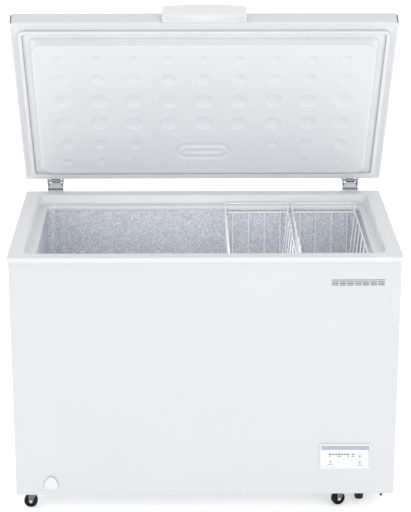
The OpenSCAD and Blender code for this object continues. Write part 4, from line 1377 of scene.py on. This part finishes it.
@dataclass
class Hinges:
    """Two spring hinges: channel on the cabinet, pin and spring, and leaf on the lid."""

    wide: float = 49.0
    cheek: float = 2.0
    turns: int = 9
    arc_from: float = 208.0
    radius: float = 15.6

    def cheek_plate(self, x: float) -> Surface:
        """One cheek: rounded head, waist and foot, with a flared ear at the front of its top.

        Args:
            x: Inner or outer side of the cheek, whichever is further left.

        Returns:
            A closed surface.
        """
        a = np.radians(np.linspace(-40, 150, 22))
        head = 13.0 * np.column_stack([np.cos(a), np.sin(a)])
        rest = np.array([(-14.5, 5.0), (-16.5, 1.0), (-17.0, -6.0), (-19.5, -14.0),
                         (-24.0, -27.0), (-27.0, -40.0), (-27.0, -150.0), (10.0, -150.0),
                         (13.0, -140.0), (13.0, -40.0)])
        flat = np.concatenate([head, rest])
        return sideways(plate(flat, 0.0, self.cheek, 0.35), x).moved(0, S.pivot_y, S.pivot_z)

    def trough(self, x: float) -> Surface:
        """Curved trough between the cheeks, under the pin, and the slotted strip below it.

        In words: an arc about the pin turns into a slope down to the rim; the slope is cut into
        bars, so that the black backing behind them shows in the slots as painted shade.

        Args:
            x: Middle of the hinge.

        Returns:
            A closed surface.
        """
        half = self.wide / 2 - self.cheek
        # The arc and the top bar stop short of the cheeks, so that the black backing shows there as
        # painted shade in the corners.
        parts = [self.arc_strip(x, half - 3.5, self.radius - 1.4, self.radius)]
        parts += [self.strip(x, *s) for s in (
            (-half + 3.5, half - 3.5, 0.0, 7.0), (-half, half, 7.0, 13.5),
            (-half, half, 19.5, self.slope_length()))]
        bars = np.linspace(-half, half, 8)[1:-1]
        parts += [self.strip(x, u - 1.0, u + 1.0, 13.4, 19.6) for u in bars]
        return joined(parts)

    def arc_strip(self, x: float, half: float, low: float, high: float) -> Surface:
        """A strip curved about the pin between two radii."""
        arc = quarter(self.arc_from, 300, 14)
        section = np.concatenate([arc * high, arc[::-1] * low]) + np.array([S.pivot_y, S.pivot_z])
        return swept(section, (x - half, x + half))

    def slope(self) -> tuple[Array, Array]:
        """The top and the foot of the slope in front of the pin, as Y and Z."""
        a = math.radians(self.arc_from)
        top = np.array([S.pivot_y + self.radius * math.cos(a),
                        S.pivot_z + self.radius * math.sin(a)])
        return top, np.array([320.6, 786.0])

    def slope_length(self) -> float:
        """Length of the slope."""
        top, foot = self.slope()
        return float(np.linalg.norm(foot - top))

    def strip(self, x: float, u0: float, u1: float, s0: float, s1: float,
              back: float = 0.0) -> Surface:
        """A flat bar of the slope.

        Args:
            x: Middle of the hinge.
            u0: Where the bar starts across the hinge.
            u1: Where it ends.
            s0: Where it starts down the slope.
            s1: Where it ends.
            back: How far behind the slope it lies.

        Returns:
            A closed surface.
        """
        top, foot = self.slope()
        along = (foot - top) / self.slope_length()
        face = np.array([along[1], -along[0]])
        corners = np.array([top + along * s0, top + along * s1]) - face * back
        both = np.concatenate([corners, (corners + face * 1.4)[::-1]])
        return swept(both, (x + u0, x + u1))

    def shade_backing(self, x: float) -> Surface:
        """Black backing behind the trough and the slots, as wide as the space between the cheeks: a
        dark sheet that paints the shade inside the channel.
        """
        half = self.wide / 2 - self.cheek - 0.1
        return self.arc_strip(x, half, 12.4, 13.6).plus(
            self.strip(x, -half, half, 0.0, self.slope_length() - 1.0, 2.0))

    def base(self, x: float) -> Surface:
        """Fixed half: web, mounting pad, cheeks, trough, ears and two stiffening ribs.

        Args:
            x: Middle of the hinge.

        Returns:
            A closed surface.
        """
        half, web = self.wide / 2, 316.5
        parts = [self.cheek_plate(x - half), self.cheek_plate(x + half - self.cheek),
                 self.trough(x)]
        top, low = S.pivot_z - 36, S.pivot_z - 150
        parts.append(tile(Rect(x - half, x + half, low, top, 1.5), web + 3.0, 3.0, 0.5, 4))
        parts.append(tile(Rect(x - half, x + half, S.pivot_z - 172, S.rim_low - 4, 5), web + 3.0,
                          7.5, 0.6, 6))
        parts += [tile(Rect(u - 1.6, u + 1.6, S.pivot_z - 8, S.pivot_z + 6, 1.2), 333.0, 1.6,
                       0.5, 4) for u in (x - half - 0.6, x + half + 0.6)]
        parts += [tile(Rect(u - 1.6, u + 1.6, low + 20, top - 14, 1.5), web + 4.6, 1.6, 0.7, 5)
                  for u in (x - 5.0, x + 5.0)]
        return joined(parts)

    def spring(self, x: float) -> Surface:
        """Coil spring: a helix round the pin."""
        t = np.linspace(0, 2 * math.pi * self.turns, self.turns * 20)
        helix = np.column_stack([x - 14.5 + 29.0 * t / t[-1], S.pivot_y - 6.4 * np.cos(t),
                                 S.pivot_z + 6.4 * np.sin(t)])
        return wire(helix, 1.5, 8, across=(1.0, 0.0, 0.0))

    def leaf(self, x: float) -> Surface:
        """Moving half for the closed lid: a plate on the lid's back with two arms to the pin.

        Args:
            x: Middle of the hinge.

        Returns:
            A closed surface.
        """
        half = self.wide / 2
        back = tile(Rect(x - half, x + half, S.lid_low + 10, S.lid_top - 4, 4), 318.0, 2.0, 0.5,
                    6)
        a = np.radians(np.linspace(-80, 90, 20))
        head = 9.0 * np.column_stack([np.cos(a), np.sin(a)])
        flat = np.concatenate([head, [(-6, 10.2), (-16, 12.0), (-26.4, 13.0), (-26.4, 1.0),
                                      (-15, 0.0), (-7.5, -5.0), (-2.5, -8.6)]])
        ear = half - self.cheek - 0.5
        arms = [sideways(plate(flat, 0.0, self.cheek, 0.35), v).moved(0, S.pivot_y, S.pivot_z)
                for v in (x - ear, x + ear - self.cheek)]
        return joined([back, *arms])

    def screws(self, places: Sequence[tuple[float, float]], y: float, high: float) -> Surface:
        """Cross-recessed pan-head screws facing backwards.

        In words: a dome is turned about its axis, and its inner points that lie along a cross
        sink into the recess.

        Args:
            places: X and Z of each screw.
            y: The face that they stand on.
            high: Height of their heads.

        Returns:
            A closed surface.
        """
        parts = []
        a = np.linspace(0, 2 * math.pi, 32, endpoint=False)
        cross = np.abs(np.sin(2 * a)) < 0.5
        for px, pz in places:
            rows = []
            for r, h in ((2.2, -1.2), (4.0, 0.0), (3.95, 0.5 * high), (3.3, 0.85 * high),
                         (2.5, high), (2.0, high), (1.9, high * 0.45), (0.6, high * 0.3)):
                sink = np.where(cross | (r > 2.2), h, high if r > 1.0 else h)
                rows.append(np.column_stack([px + r * np.cos(a), y + sink, pz + r * np.sin(a)]))
            parts.append(skin(np.array(rows), caps=True))
        return joined(parts)

    def build(self) -> None:
        """Builds both hinges."""
        both = (-S.hinge_x, S.hinge_x)
        for side, x in zip(("left", "right"), both):
            piece(f"hinge_channel_{side}", self.base(x), Finish.ZINC, f"hinge_base_{side}")
            # Black sheet inside each channel: painted shade behind the bars and in the corners.
            piece(f"hinge_buffer_{side}", self.shade_backing(x), Finish.BLACK_PLASTIC)
            piece(f"hinge_plate_{side}", self.leaf(x).placed(on_lid), Finish.ZINC,
                  f"hinge_leaf_{side}", "lid")
        piece("hinge_coils", joined([self.spring(x) for x in both]), Finish.STEEL,
              "hinge_springs", crease=60.0)
        profile = [(0.1, -27.0), (5.2, -27.0), (6.0, -26.2), (6.0, -24.6), (4.0, -24.4),
                   (4.0, 24.4), (6.0, 24.6), (6.0, 26.2), (5.2, 27.0), (0.1, 27.0)]
        pins = [turned(profile, 40, "x").moved(x, S.pivot_y, S.pivot_z) for x in both]
        piece("hinge_rivets", joined(pins), Finish.STEEL, "hinge_pins")
        low = [(x + u, z) for x in both for u in (-12, 12) for z in (660.0, 755.0)]
        piece("hinge_screws_low", self.screws(low, 319.6, 3.0), Finish.STEEL,
              "hinge_base_screws")
        high = [(x + u, S.lid_top - 10) for x in both for u in (-14, 0, 14)]
        piece("hinge_screws_lid", self.screws(high, 318.0, 2.0).placed(on_lid), Finish.STEEL,
              "hinge_leaf_screws", "lid")


# ---- baskets ----


@dataclass
class Basket:
    """Wire basket that hangs on the ledges, given by the X planes between which it hangs."""

    side: str
    x0: float
    x1: float
    front: float = -280.0
    rear: float = 243.0
    rail: float = 741.5
    floor: float = 549.5
    hang: float = 764.3
    fine: float = 1.55
    stout: float = 2.45
    bend: float = 16.0
    lean: float = 17.0

    def build(self) -> None:
        """Builds the basket: rails, hangers, long wires and cross wires.

        In words: every wire of the mesh is a U with rounded corners; the long ones run from
        front to back, the cross ones lie over them and lean in towards the floor, and small weld
        nuggets sit where they cross.
        """
        x0, x1 = self.x0 + self.stout, self.x1 - self.stout
        fine, stout = self.fine, self.stout
        step = stout + fine - 0.5
        y0, y1 = self.front + step, self.rear - step
        u0, u1 = x0 + step, x1 - step
        outline = Rect(x0, x1, self.front, self.rear, self.bend * 0.6)
        parts = [wire(outline.loop(self.rail, 7, 10, 10), stout, 8, closed=True,
                      across=(0, 0, 1))]
        long_x = (x0 + x1) / 2 + (np.arange(4) - 1.5) * 50.0
        cross_y = (y0 + y1) / 2 + (np.arange(7) - 3) * 80.0
        end, low, high = self.rail + 2, self.floor, self.floor + 2 * fine - 0.5
        bent = [[(x, y0, end), (x, y0, low), (x, y1, low), (x, y1, end)] for x in long_x]
        bent += [[(u0, y, end), (u0 + self.lean, y, high), (u1 - self.lean, y, high),
                  (u1, y, end)] for y in cross_y]
        parts += [wire(rounded_path(path, self.bend), fine, 8) for path in bent]
        for y in (self.front - 19.0, self.rear + 19.0):
            rod = [(x0 - 0.3, y, self.hang), (x1 + 0.3, y, self.hang)]
            parts.append(wire(np.array(rod), stout - 0.2, 10))
        for x in (x0 + 1.0, x1 - 1.0):
            for y, out in ((self.front, -1.0), (self.rear, 1.0)):
                hook = [(x, y - out * 6, self.rail - 4.0), (x, y - out * 1.0, self.rail + 6.0),
                        (x, y + out * 2.0, self.hang), (x, y + out * 19.0, self.hang)]
                parts.append(wire(rounded_path(hook, 8.0), stout - 0.3, 8))
        nugget = turned([(0.1, -1.2), (1.7, -0.5), (1.7, 0.5), (0.1, 1.2)], 6)
        parts += [nugget.moved(x, y, low + fine) for x in long_x for y in cross_y]
        parts += [nugget.moved(x, y, self.rail) for x in long_x for y in (y0 - 1.2, y1 + 1.2)]
        piece(f"basket_wires_{self.side}", joined(parts), Finish.WIRE, f"basket_{self.side}",
              f"basket_{self.side}", 60.0)


# ---- controls ----


@dataclass
class ControlPanel:
    """Control panel: bezel, film with its strip and printed marks, and two buttons."""

    x: float = 411.5
    z: float = 172.0
    half: float = 75.5
    rise: float = 41.0
    key_x: float = 43.0
    key_z: tuple[float, float] = (2.5, -19.0)
    film: float = -350.8

    def inside(self, side: float, end: float, r: float) -> Rect:
        """The panel's outline moved inwards by two margins, with corners of radius r."""
        return Rect(self.x - self.half + side, self.x + self.half - side,
                    self.z - self.rise + end, self.z + self.rise - end, r)

    def mark(self, outline: Array, high: float = 0.10) -> Surface:
        """A flat printed shape on the film, given by its outline about the panel's centre."""
        return upright(plate(outline + np.array([self.x, self.z]), 0.0, high, 0.02),
                       self.film + 0.02)

    def bar(self, x: float, z: float, wide: float, high: float) -> Surface:
        """A flat bar about a point, measured from the panel's centre."""
        box = np.array([(-wide, -high), (wide, -high), (wide, high), (-wide, high)]) / 2
        return self.mark(box + np.array([x, z]))

    def bezel(self) -> Surface:
        """Bezel: a slim raised frame with the box behind it that holds the board."""
        edge = frame_ring(self.inside(0, 0, 3.5), self.inside(3.2, 3.6, 1.5), 0.0, 3.0, 0.9, 6)
        lip = frame_ring(self.inside(2, 2, 2), self.inside(9, 8.5, 2), 0.0, 0.6, 0.2, 6)
        case = frame_ring(self.inside(7, 6.5, 4), self.inside(9, 8.5, 2.5), -14.0, 0.3, 0.3, 6)
        return joined([upright(part, S.front_y) for part in (edge, lip, case)])

    def film_sheet(self) -> Surface:
        """Film over the panel's face, with round windows sunk round the two buttons.

        Returns:
            A closed surface.
        """
        parts = [tile(self.inside(3.3, 3.8, 1.4), -348.8, 2.0, 0.25, 5)]
        ring = [(7.3, -348.9), (7.3, -350.75), (7.7, -350.9), (8.6, -350.9), (9.0, -350.75),
                (9.0, -350.0), (7.3, -350.0)]
        parts += [turned(ring, 40, "y").moved(self.x + self.key_x, 0.0, self.z + z)
                  for z in self.key_z]
        return joined(parts)

    def strip(self) -> Surface:
        """Blue-grey strip across the top, with a slim return down the right-hand edge that is
        painted shade of a sloping side wall.
        """
        # The points from (67.0, 21.2) down to (70.6, -35.0) draw the return: painted shade.
        return self.mark(np.array([(-70.6, 35.0), (-70.6, 22.2), (64.0, 22.2), (67.0, 21.2),
                                   (68.4, 17.0), (69.4, -35.0), (70.6, -35.0), (70.6, 35.0)]),
                         0.08)

    def marks(self) -> Surface:
        """Row of lamp marks with plain caption bars, one star of strokes and its bar.

        Returns:
            A closed surface.
        """
        lamps = [(-45.5 + 9.05 * k, 8.2, 5.8, 4.6 if k % 3 == 0 else 3.6) for k in range(7)]
        captions = [(-45.4, 1.3, 3.6, 2.2), (-17.4, 1.5, 12.5, 2.2), (8.9, 1.3, 5.5, 2.2),
                    (22.1, 1.3, 9.6, 2.2), (-44.1, -23.7, 15.0, 2.0), (44.2, -28.4, 10.5, 2.2)]
        rest = [(-18.4, 8.0, 56.0, 1.0), (22.0, 8.2, 7.0, 4.2), (-17.5, 14.8, 1.8, 2.2)]
        parts = [self.bar(*m) for m in (*lamps, *captions, *rest)]
        stroke = np.array([(-3.2, -0.5), (3.2, -0.5), (3.2, 0.5), (-3.2, 0.5)])
        for t in np.radians((30, 90, 150)):
            turn = np.array([(math.cos(t), math.sin(t)), (-math.sin(t), math.cos(t))])
            parts.append(self.mark(stroke @ turn + np.array([-44.2, -16.0])))
        return joined(parts)

    def swoosh(self) -> Surface:
        """Thin line that runs level from the left, rises in an S and runs on to the right.

        In words: its height rises by a smooth step over the middle third of its length.

        Returns:
            A closed surface.
        """
        x = np.linspace(-67.0, 66.0, 60)
        z = -30.3 + 21.8 * smooth_step((x + 12) / 38)
        edge = np.column_stack([[*x, *x[::-1]], [*(z - 0.4), *(z + 0.4)[::-1]]])
        return self.mark(edge, 0.06)

    def button(self, z: float) -> Surface:
        """A round button with a softly dished face on its stem."""
        outline = [(0.1, -351.15), (3.0, -351.2), (5.6, -351.55), (6.4, -351.6), (6.9, -351.2),
                   (7.0, -350.6), (7.0, -347.6), (3.0, -347.4), (3.0, -342.5), (0.1, -342.5)]
        return turned(outline, 40, "y").moved(self.x + self.key_x, 0.0, z)

    def sign(self, z: float, way: float) -> Surface:
        """An arrow on a button: a stem and a head, pointing down where way is 1."""
        arrow = np.array([(-0.7, 5.0), (-0.7, -1.2), (-2.8, -1.2), (0.0, -5.4), (2.8, -1.2),
                          (0.7, -1.2), (0.7, 5.0)]) * np.array([1.0, way])
        return upright(plate(arrow + np.array([self.x + self.key_x, z]), 0.0, 0.3, 0.02), -351.2)

    def build(self) -> None:
        """Builds the panel."""
        piece("panel_surround", self.bezel(), Finish.PLASTIC, "panel_bezel")
        piece("panel_sheet", self.film_sheet(), Finish.FILM, "panel_fascia")
        piece("panel_strip_and_painted_shade", self.strip(), Finish.STRIP)
        piece("panel_marks", self.marks(), Finish.INK)
        piece("panel_line", self.swoosh(), Finish.LINE_INK)
        for name, rise, way in zip(("set", "boost"), self.key_z, (1.0, -1.0)):
            z, body = self.z + rise, f"{name}_button"
            piece(f"{name}_key", self.button(z), Finish.PLASTIC, body, body)
            piece(f"{name}_sign", self.sign(z, way), Finish.INK, body=body)


@dataclass
class Emblem:
    """Plain badge near the top right of the front: thin metal bars, with no lettering."""

    x0: float = 358.0
    x1: float = 511.0
    z: float = 706.0

    def build(self) -> None:
        """Builds the bars: a long thin line over three rows of short ones."""
        bars = [Rect(self.x0, self.x1, self.z + 15.2, self.z + 16.8, 0.5)]
        edges = np.linspace(self.x0, self.x1, 8)
        bars += [Rect(a + 1.6, b - 1.6, self.z + z, self.z + z + 1.9, 0.6)
                 for a, b in zip(edges[:-1], edges[1:]) for z in (0.0, 4.6, 9.4)]
        piece("front_emblem", joined([tile(bar, S.front_y, 0.8, 0.25, 3) for bar in bars]),
              Finish.EMBLEM)


# ---- feet ----


@dataclass
class Caster:
    """Swivel caster: plate, ball race, fork with two tapered legs, axle and wheel."""

    tag: str
    x: float
    y: float
    angle: float
    trail: float = 14.0
    radius: float = 20.0
    half: float = 8.5

    def put(self, p: Array) -> Array:
        """Turns points by the caster's angle and carries them to its kingpin."""
        a = math.radians(self.angle)
        return np.column_stack([self.x + p[:, 0] * math.cos(a) - p[:, 1] * math.sin(a),
                                self.y + p[:, 0] * math.sin(a) + p[:, 1] * math.cos(a), p[:, 2]])

    def fork(self) -> Surface:
        """Pressed fork.

        In words: the crown is a turned shape with a rolled race, and each leg is a plate whose
        outline tapers from the crown to the axle.

        Returns:
            A closed surface.
        """
        race = [(4.3, 43.2), (14.2, 43.2), (15.0, 43.8), (15.0, 44.6), (13.4, 45.2),
                (12.2, 46.0), (12.6, 48.2), (11.6, 49.8), (9.0, 50.3), (4.3, 50.3), (4.3, 43.2)]
        parts = [turned(race, 48)]
        a = np.radians(np.linspace(150, 330, 16))
        knee = np.column_stack([-self.trail + 6.8 * np.cos(a), self.radius + 6.8 * np.sin(a)])
        flat = np.concatenate([knee, [(-3.0, 32.0), (0.5, 39.0), (9.5, 42.0), (10.5, 44.4),
                                      (-14.0, 44.4), (-19.5, 41.0), (-21.0, 33.0)]])
        parts += [upright(plate(flat, 0.0, 1.5, 0.45), y)
                  for y in (-self.half - 1.0, self.half + 2.5)]
        wide = self.half + 2.4
        return joined([*parts, slab(Rect(-11.0, 10.0, -wide, wide, 1.0), 42.9, 44.5, 0.5, 3)])

    def wheel(self) -> Surface:
        """Wheel: rounded tread with two fine grooves, a recessed web and a hub.

        Returns:
            A closed surface.
        """
        outline = [(3.2, -8.4), (6.6, -8.4), (7.2, -7.8), (7.4, -5.6), (13.6, -5.4), (14.6, -7.4),
                   (15.4, -8.3), (17.2, -8.3)]
        outline += [(17.4 + 2.6 * c, -5.7 + 2.6 * s) for c, s in quarter(-80, -8, 5)]
        outline += [(20.0, -3.2), (19.5, -2.9), (19.5, -2.5), (20.0, -2.2)]
        outline += [(r, -y) for r, y in outline[::-1]] + outline[:1]
        return turned(outline, 56, "y").moved(-self.trail, 0.0, self.radius)

    def axle(self) -> Surface:
        """Axle: a rivet with domed heads over both legs.

        Returns:
            A closed surface.
        """
        head = self.half + 2.5
        outline = [(0.1, -head - 1.8), (2.6, -head - 1.7), (4.4, -head - 1.0), (5.0, -head - 0.1),
                   (3.0, -head)]
        outline += [(r, -y) for r, y in outline[::-1]]
        return turned(outline, 36, "y").moved(-self.trail, 0.0, self.radius)

    def mount(self) -> Surface:
        """Plate under the cabinet with its kingpin and washer."""
        pin = turned([(0.1, 40.0), (5.8, 40.0), (6.5, 40.6), (6.5, 42.4), (4.1, 42.7),
                      (4.1, 51.0), (0.1, 51.0)], 36)
        return slab(Rect(-22, 22, -19, 19, 3), 50.8, 52.8, 0.4, 5).plus(pin).moved(self.x, self.y)

    def build(self) -> None:
        """Builds the caster's turning pieces; the plates are one piece of their own."""
        for name, shape, finish, node, body in (
                ("yoke", self.fork(), Finish.YOKE, "fork", "caster"),
                ("rivet", self.axle(), Finish.ZINC, "axle", "caster"),
                ("roller", self.wheel(), Finish.TYRE, "wheel", "wheel")):
            piece(f"caster_{name}_{self.tag}", shape.placed(self.put), finish,
                  f"caster_{node}_{self.tag}", f"{body}_{self.tag}")


@dataclass
class Feet:
    """The four casters, their plates and the fixed front foot."""

    casters: tuple[Caster, ...] = (
        Caster("fl", -504, -318, 0), Caster("fr", 410, -306, 20),
        Caster("rl", -500, 268, 35), Caster("rr", 500, 268, 150))

    def build(self) -> None:
        """Builds them."""
        for caster in self.casters:
            caster.build()
        piece("caster_mounts", joined([c.mount() for c in self.casters]), Finish.ZINC,
              "caster_plates")
        outline = [(0.1, 0.6), (8.0, 0.6), (8.6, 0.0), (10.6, 0.0), (12.2, 1.0), (13.0, 3.4)]
        outline += [(12.4 + 0.155 * z - (0.35 if z % 6 in (2, 3) else 0.0), float(z))
                    for z in range(8, 48)]
        outline += [(20.2, 48.5), (20.4, 52.2), (20.0, 52.8), (0.1, 52.8)]
        piece("foot_stud", turned(outline, 56).moved(463.5, -270.0), Finish.BLACK_PLASTIC,
              "front_foot")


# ---- what stays as the model has it ----


@dataclass
class Inside:
    """Nodes whose shape is right as it is, with the finish that each one gets."""

    finishes: dict[str, Finish] = field(default_factory=lambda: {
        "outer_wrapper": Finish.PAINT, "base_panel": Finish.GALVANISED,
        "compressor_tray": Finish.GALVANISED, "bay_shroud": Finish.GALVANISED,
        "cabinet_foam": Finish.FOAM,
        "condenser_coil": Finish.COPPER, "evaporator_coil": Finish.COPPER,
        "refrigerant_lines": Finish.COPPER, "filter_drier": Finish.COPPER,
        "compressor": Finish.BLACK_PAINT, "terminal_cover": Finish.BLACK_PLASTIC,
        "compressor_grommets": Finish.RUBBER, "tray_bolts": Finish.BLACK_PAINT,
        "control_board": Finish.BOARD, "indicator_lamps": Finish.LENS,
        "drain_tube": Finish.PLASTIC, "handle_screws": Finish.ZINC})

    def build(self) -> None:
        """Gives each node that is still shown its finish."""
        for name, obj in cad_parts.items():
            finish = self.finishes.get(name, Finish.ZINC)
            obj.data.materials.clear()
            obj.data.materials.append(PAINTS.get(finish))
            if not obj.hide_render:
                log.info("%s: kept, in %s", name, finish.value.name)


# ---- studio ----


@dataclass
class Studio:
    """Pale floor, soft white surroundings, soft lamps and the camera."""

    floor_tone: Rgb = (0.97, 0.97, 0.97)
    world: float = 1.0
    glow: float = 0.4
    place: tuple[float, float, float] = (-0.0526, -4.9636, 2.3495)
    down: float = 18.612
    yaw: float = 0.658
    roll: float = 0.046
    lens: float = 121.36
    sensor: float = 36.0

    def floor(self) -> None:
        """Lays the floor: a wide flat sheet of pale plaster that glows a little in itself."""
        x = np.linspace(-60.0, 60.0, 41)
        gx, gy = np.meshgrid(x, x)
        sheet = skin(np.stack([gx, gy, np.full_like(gx, -0.0004)], -1) / MM, ring=False)
        mesh = bpy.data.meshes.new("floor")
        mesh.from_pydata((sheet.points * MM).tolist(), [], sheet.faces[0].tolist())
        r = Recipe("floor_plaster")
        patch = tuple(part * 0.985 for part in self.floor_tone)
        tone = r.blend(r.noise(3.0, 3.0), self.floor_tone, patch)
        mesh.materials.append(r.finish(
            Base_Color=tone, Roughness=0.9, Emission_Color=tone, Emission_Strength=self.glow,
            Normal=r.bump(r.noise(80.0), 0.05, 0.001)))
        obj = bpy.data.objects.new("floor", mesh)
        bpy.context.scene.collection.objects.link(obj)

    def lamp(self, name: str, at: tuple[float, float, float], to: tuple[float, float, float],
             size: tuple[float, float], watts: float) -> None:
        """Hangs a soft oblong lamp.

        Args:
            name: The lamp's name.
            at: Where it hangs, in metres.
            to: What it points at.
            size: Its width and its height.
            watts: Its power.
        """
        light = bpy.data.lights.new(name, "AREA")
        light.shape, light.energy = "RECTANGLE", watts
        light.size, light.size_y = size
        obj = bpy.data.objects.new(name, light)
        bpy.context.scene.collection.objects.link(obj)
        obj.location = at
        obj.visible_camera = False
        obj.rotation_euler = (Vector(to) - Vector(at)).to_track_quat("-Z", "Y").to_euler()

    def camera(self) -> None:
        """Sets up the camera, level but for a hair, looking down on the open freezer."""
        cam = bpy.data.cameras.new("camera")
        cam.lens, cam.sensor_width = self.lens, self.sensor
        cam.clip_start, cam.clip_end = 0.1, 200.0
        obj = bpy.data.objects.new("camera", cam)
        bpy.context.scene.collection.objects.link(obj)
        p, y = math.radians(self.down), math.radians(self.yaw)
        ahead = Vector((math.sin(y) * math.cos(p), math.cos(y) * math.cos(p), -math.sin(p)))
        right = ahead.cross(Vector((0, 0, 1))).normalized()
        up = right.cross(ahead)
        c, s = math.cos(math.radians(self.roll)), math.sin(math.radians(self.roll))
        right, up = right * c + up * s, up * c - right * s
        turn = Matrix((right, up, -ahead)).transposed()
        obj.matrix_world = Matrix.Translation(self.place) @ turn.to_4x4()
        bpy.context.scene.camera = obj

    def build(self) -> None:
        """Builds the studio."""
        self.floor()
        world = bpy.data.worlds.new("studio")
        world.use_nodes = True
        back = world.node_tree.nodes["Background"]
        back.inputs["Color"].default_value = (1.0, 1.0, 1.0, 1.0)
        back.inputs["Strength"].default_value = self.world
        bpy.context.scene.world = world
        bpy.context.scene.view_settings.view_transform = "Standard"
        self.lamp("key", (2.6, -3.8, 2.6), (0.0, 0.0, 0.8), (2.4, 2.4), 16.0)
        self.lamp("fill", (-2.4, -3.4, 1.4), (0.0, 0.0, 0.9), (2.4, 2.4), 5.0)
        self.lamp("opening", (0.0, -0.20, 0.66), (0.0, 0.35, 0.86), (0.9, 0.10), 1.1)
        self.camera()


def main() -> None:
    """Builds the studio and every sub-assembly in order."""
    logging.basicConfig(level=logging.INFO, format="%(name)s: %(message)s")
    for part in (Studio(), Rim(), Liner(), Back(), SideGrille(), Drain(), Hinges(), Lid(),
                 Handle(), Basket("left", 66.0, 270.0), Basket("right", 278.7, 482.0),
                 ControlPanel(), Emblem(), Feet(), Inside()):
        part.build()
    bpy.context.view_layer.update()


if __name__ == "__main__":
    main()
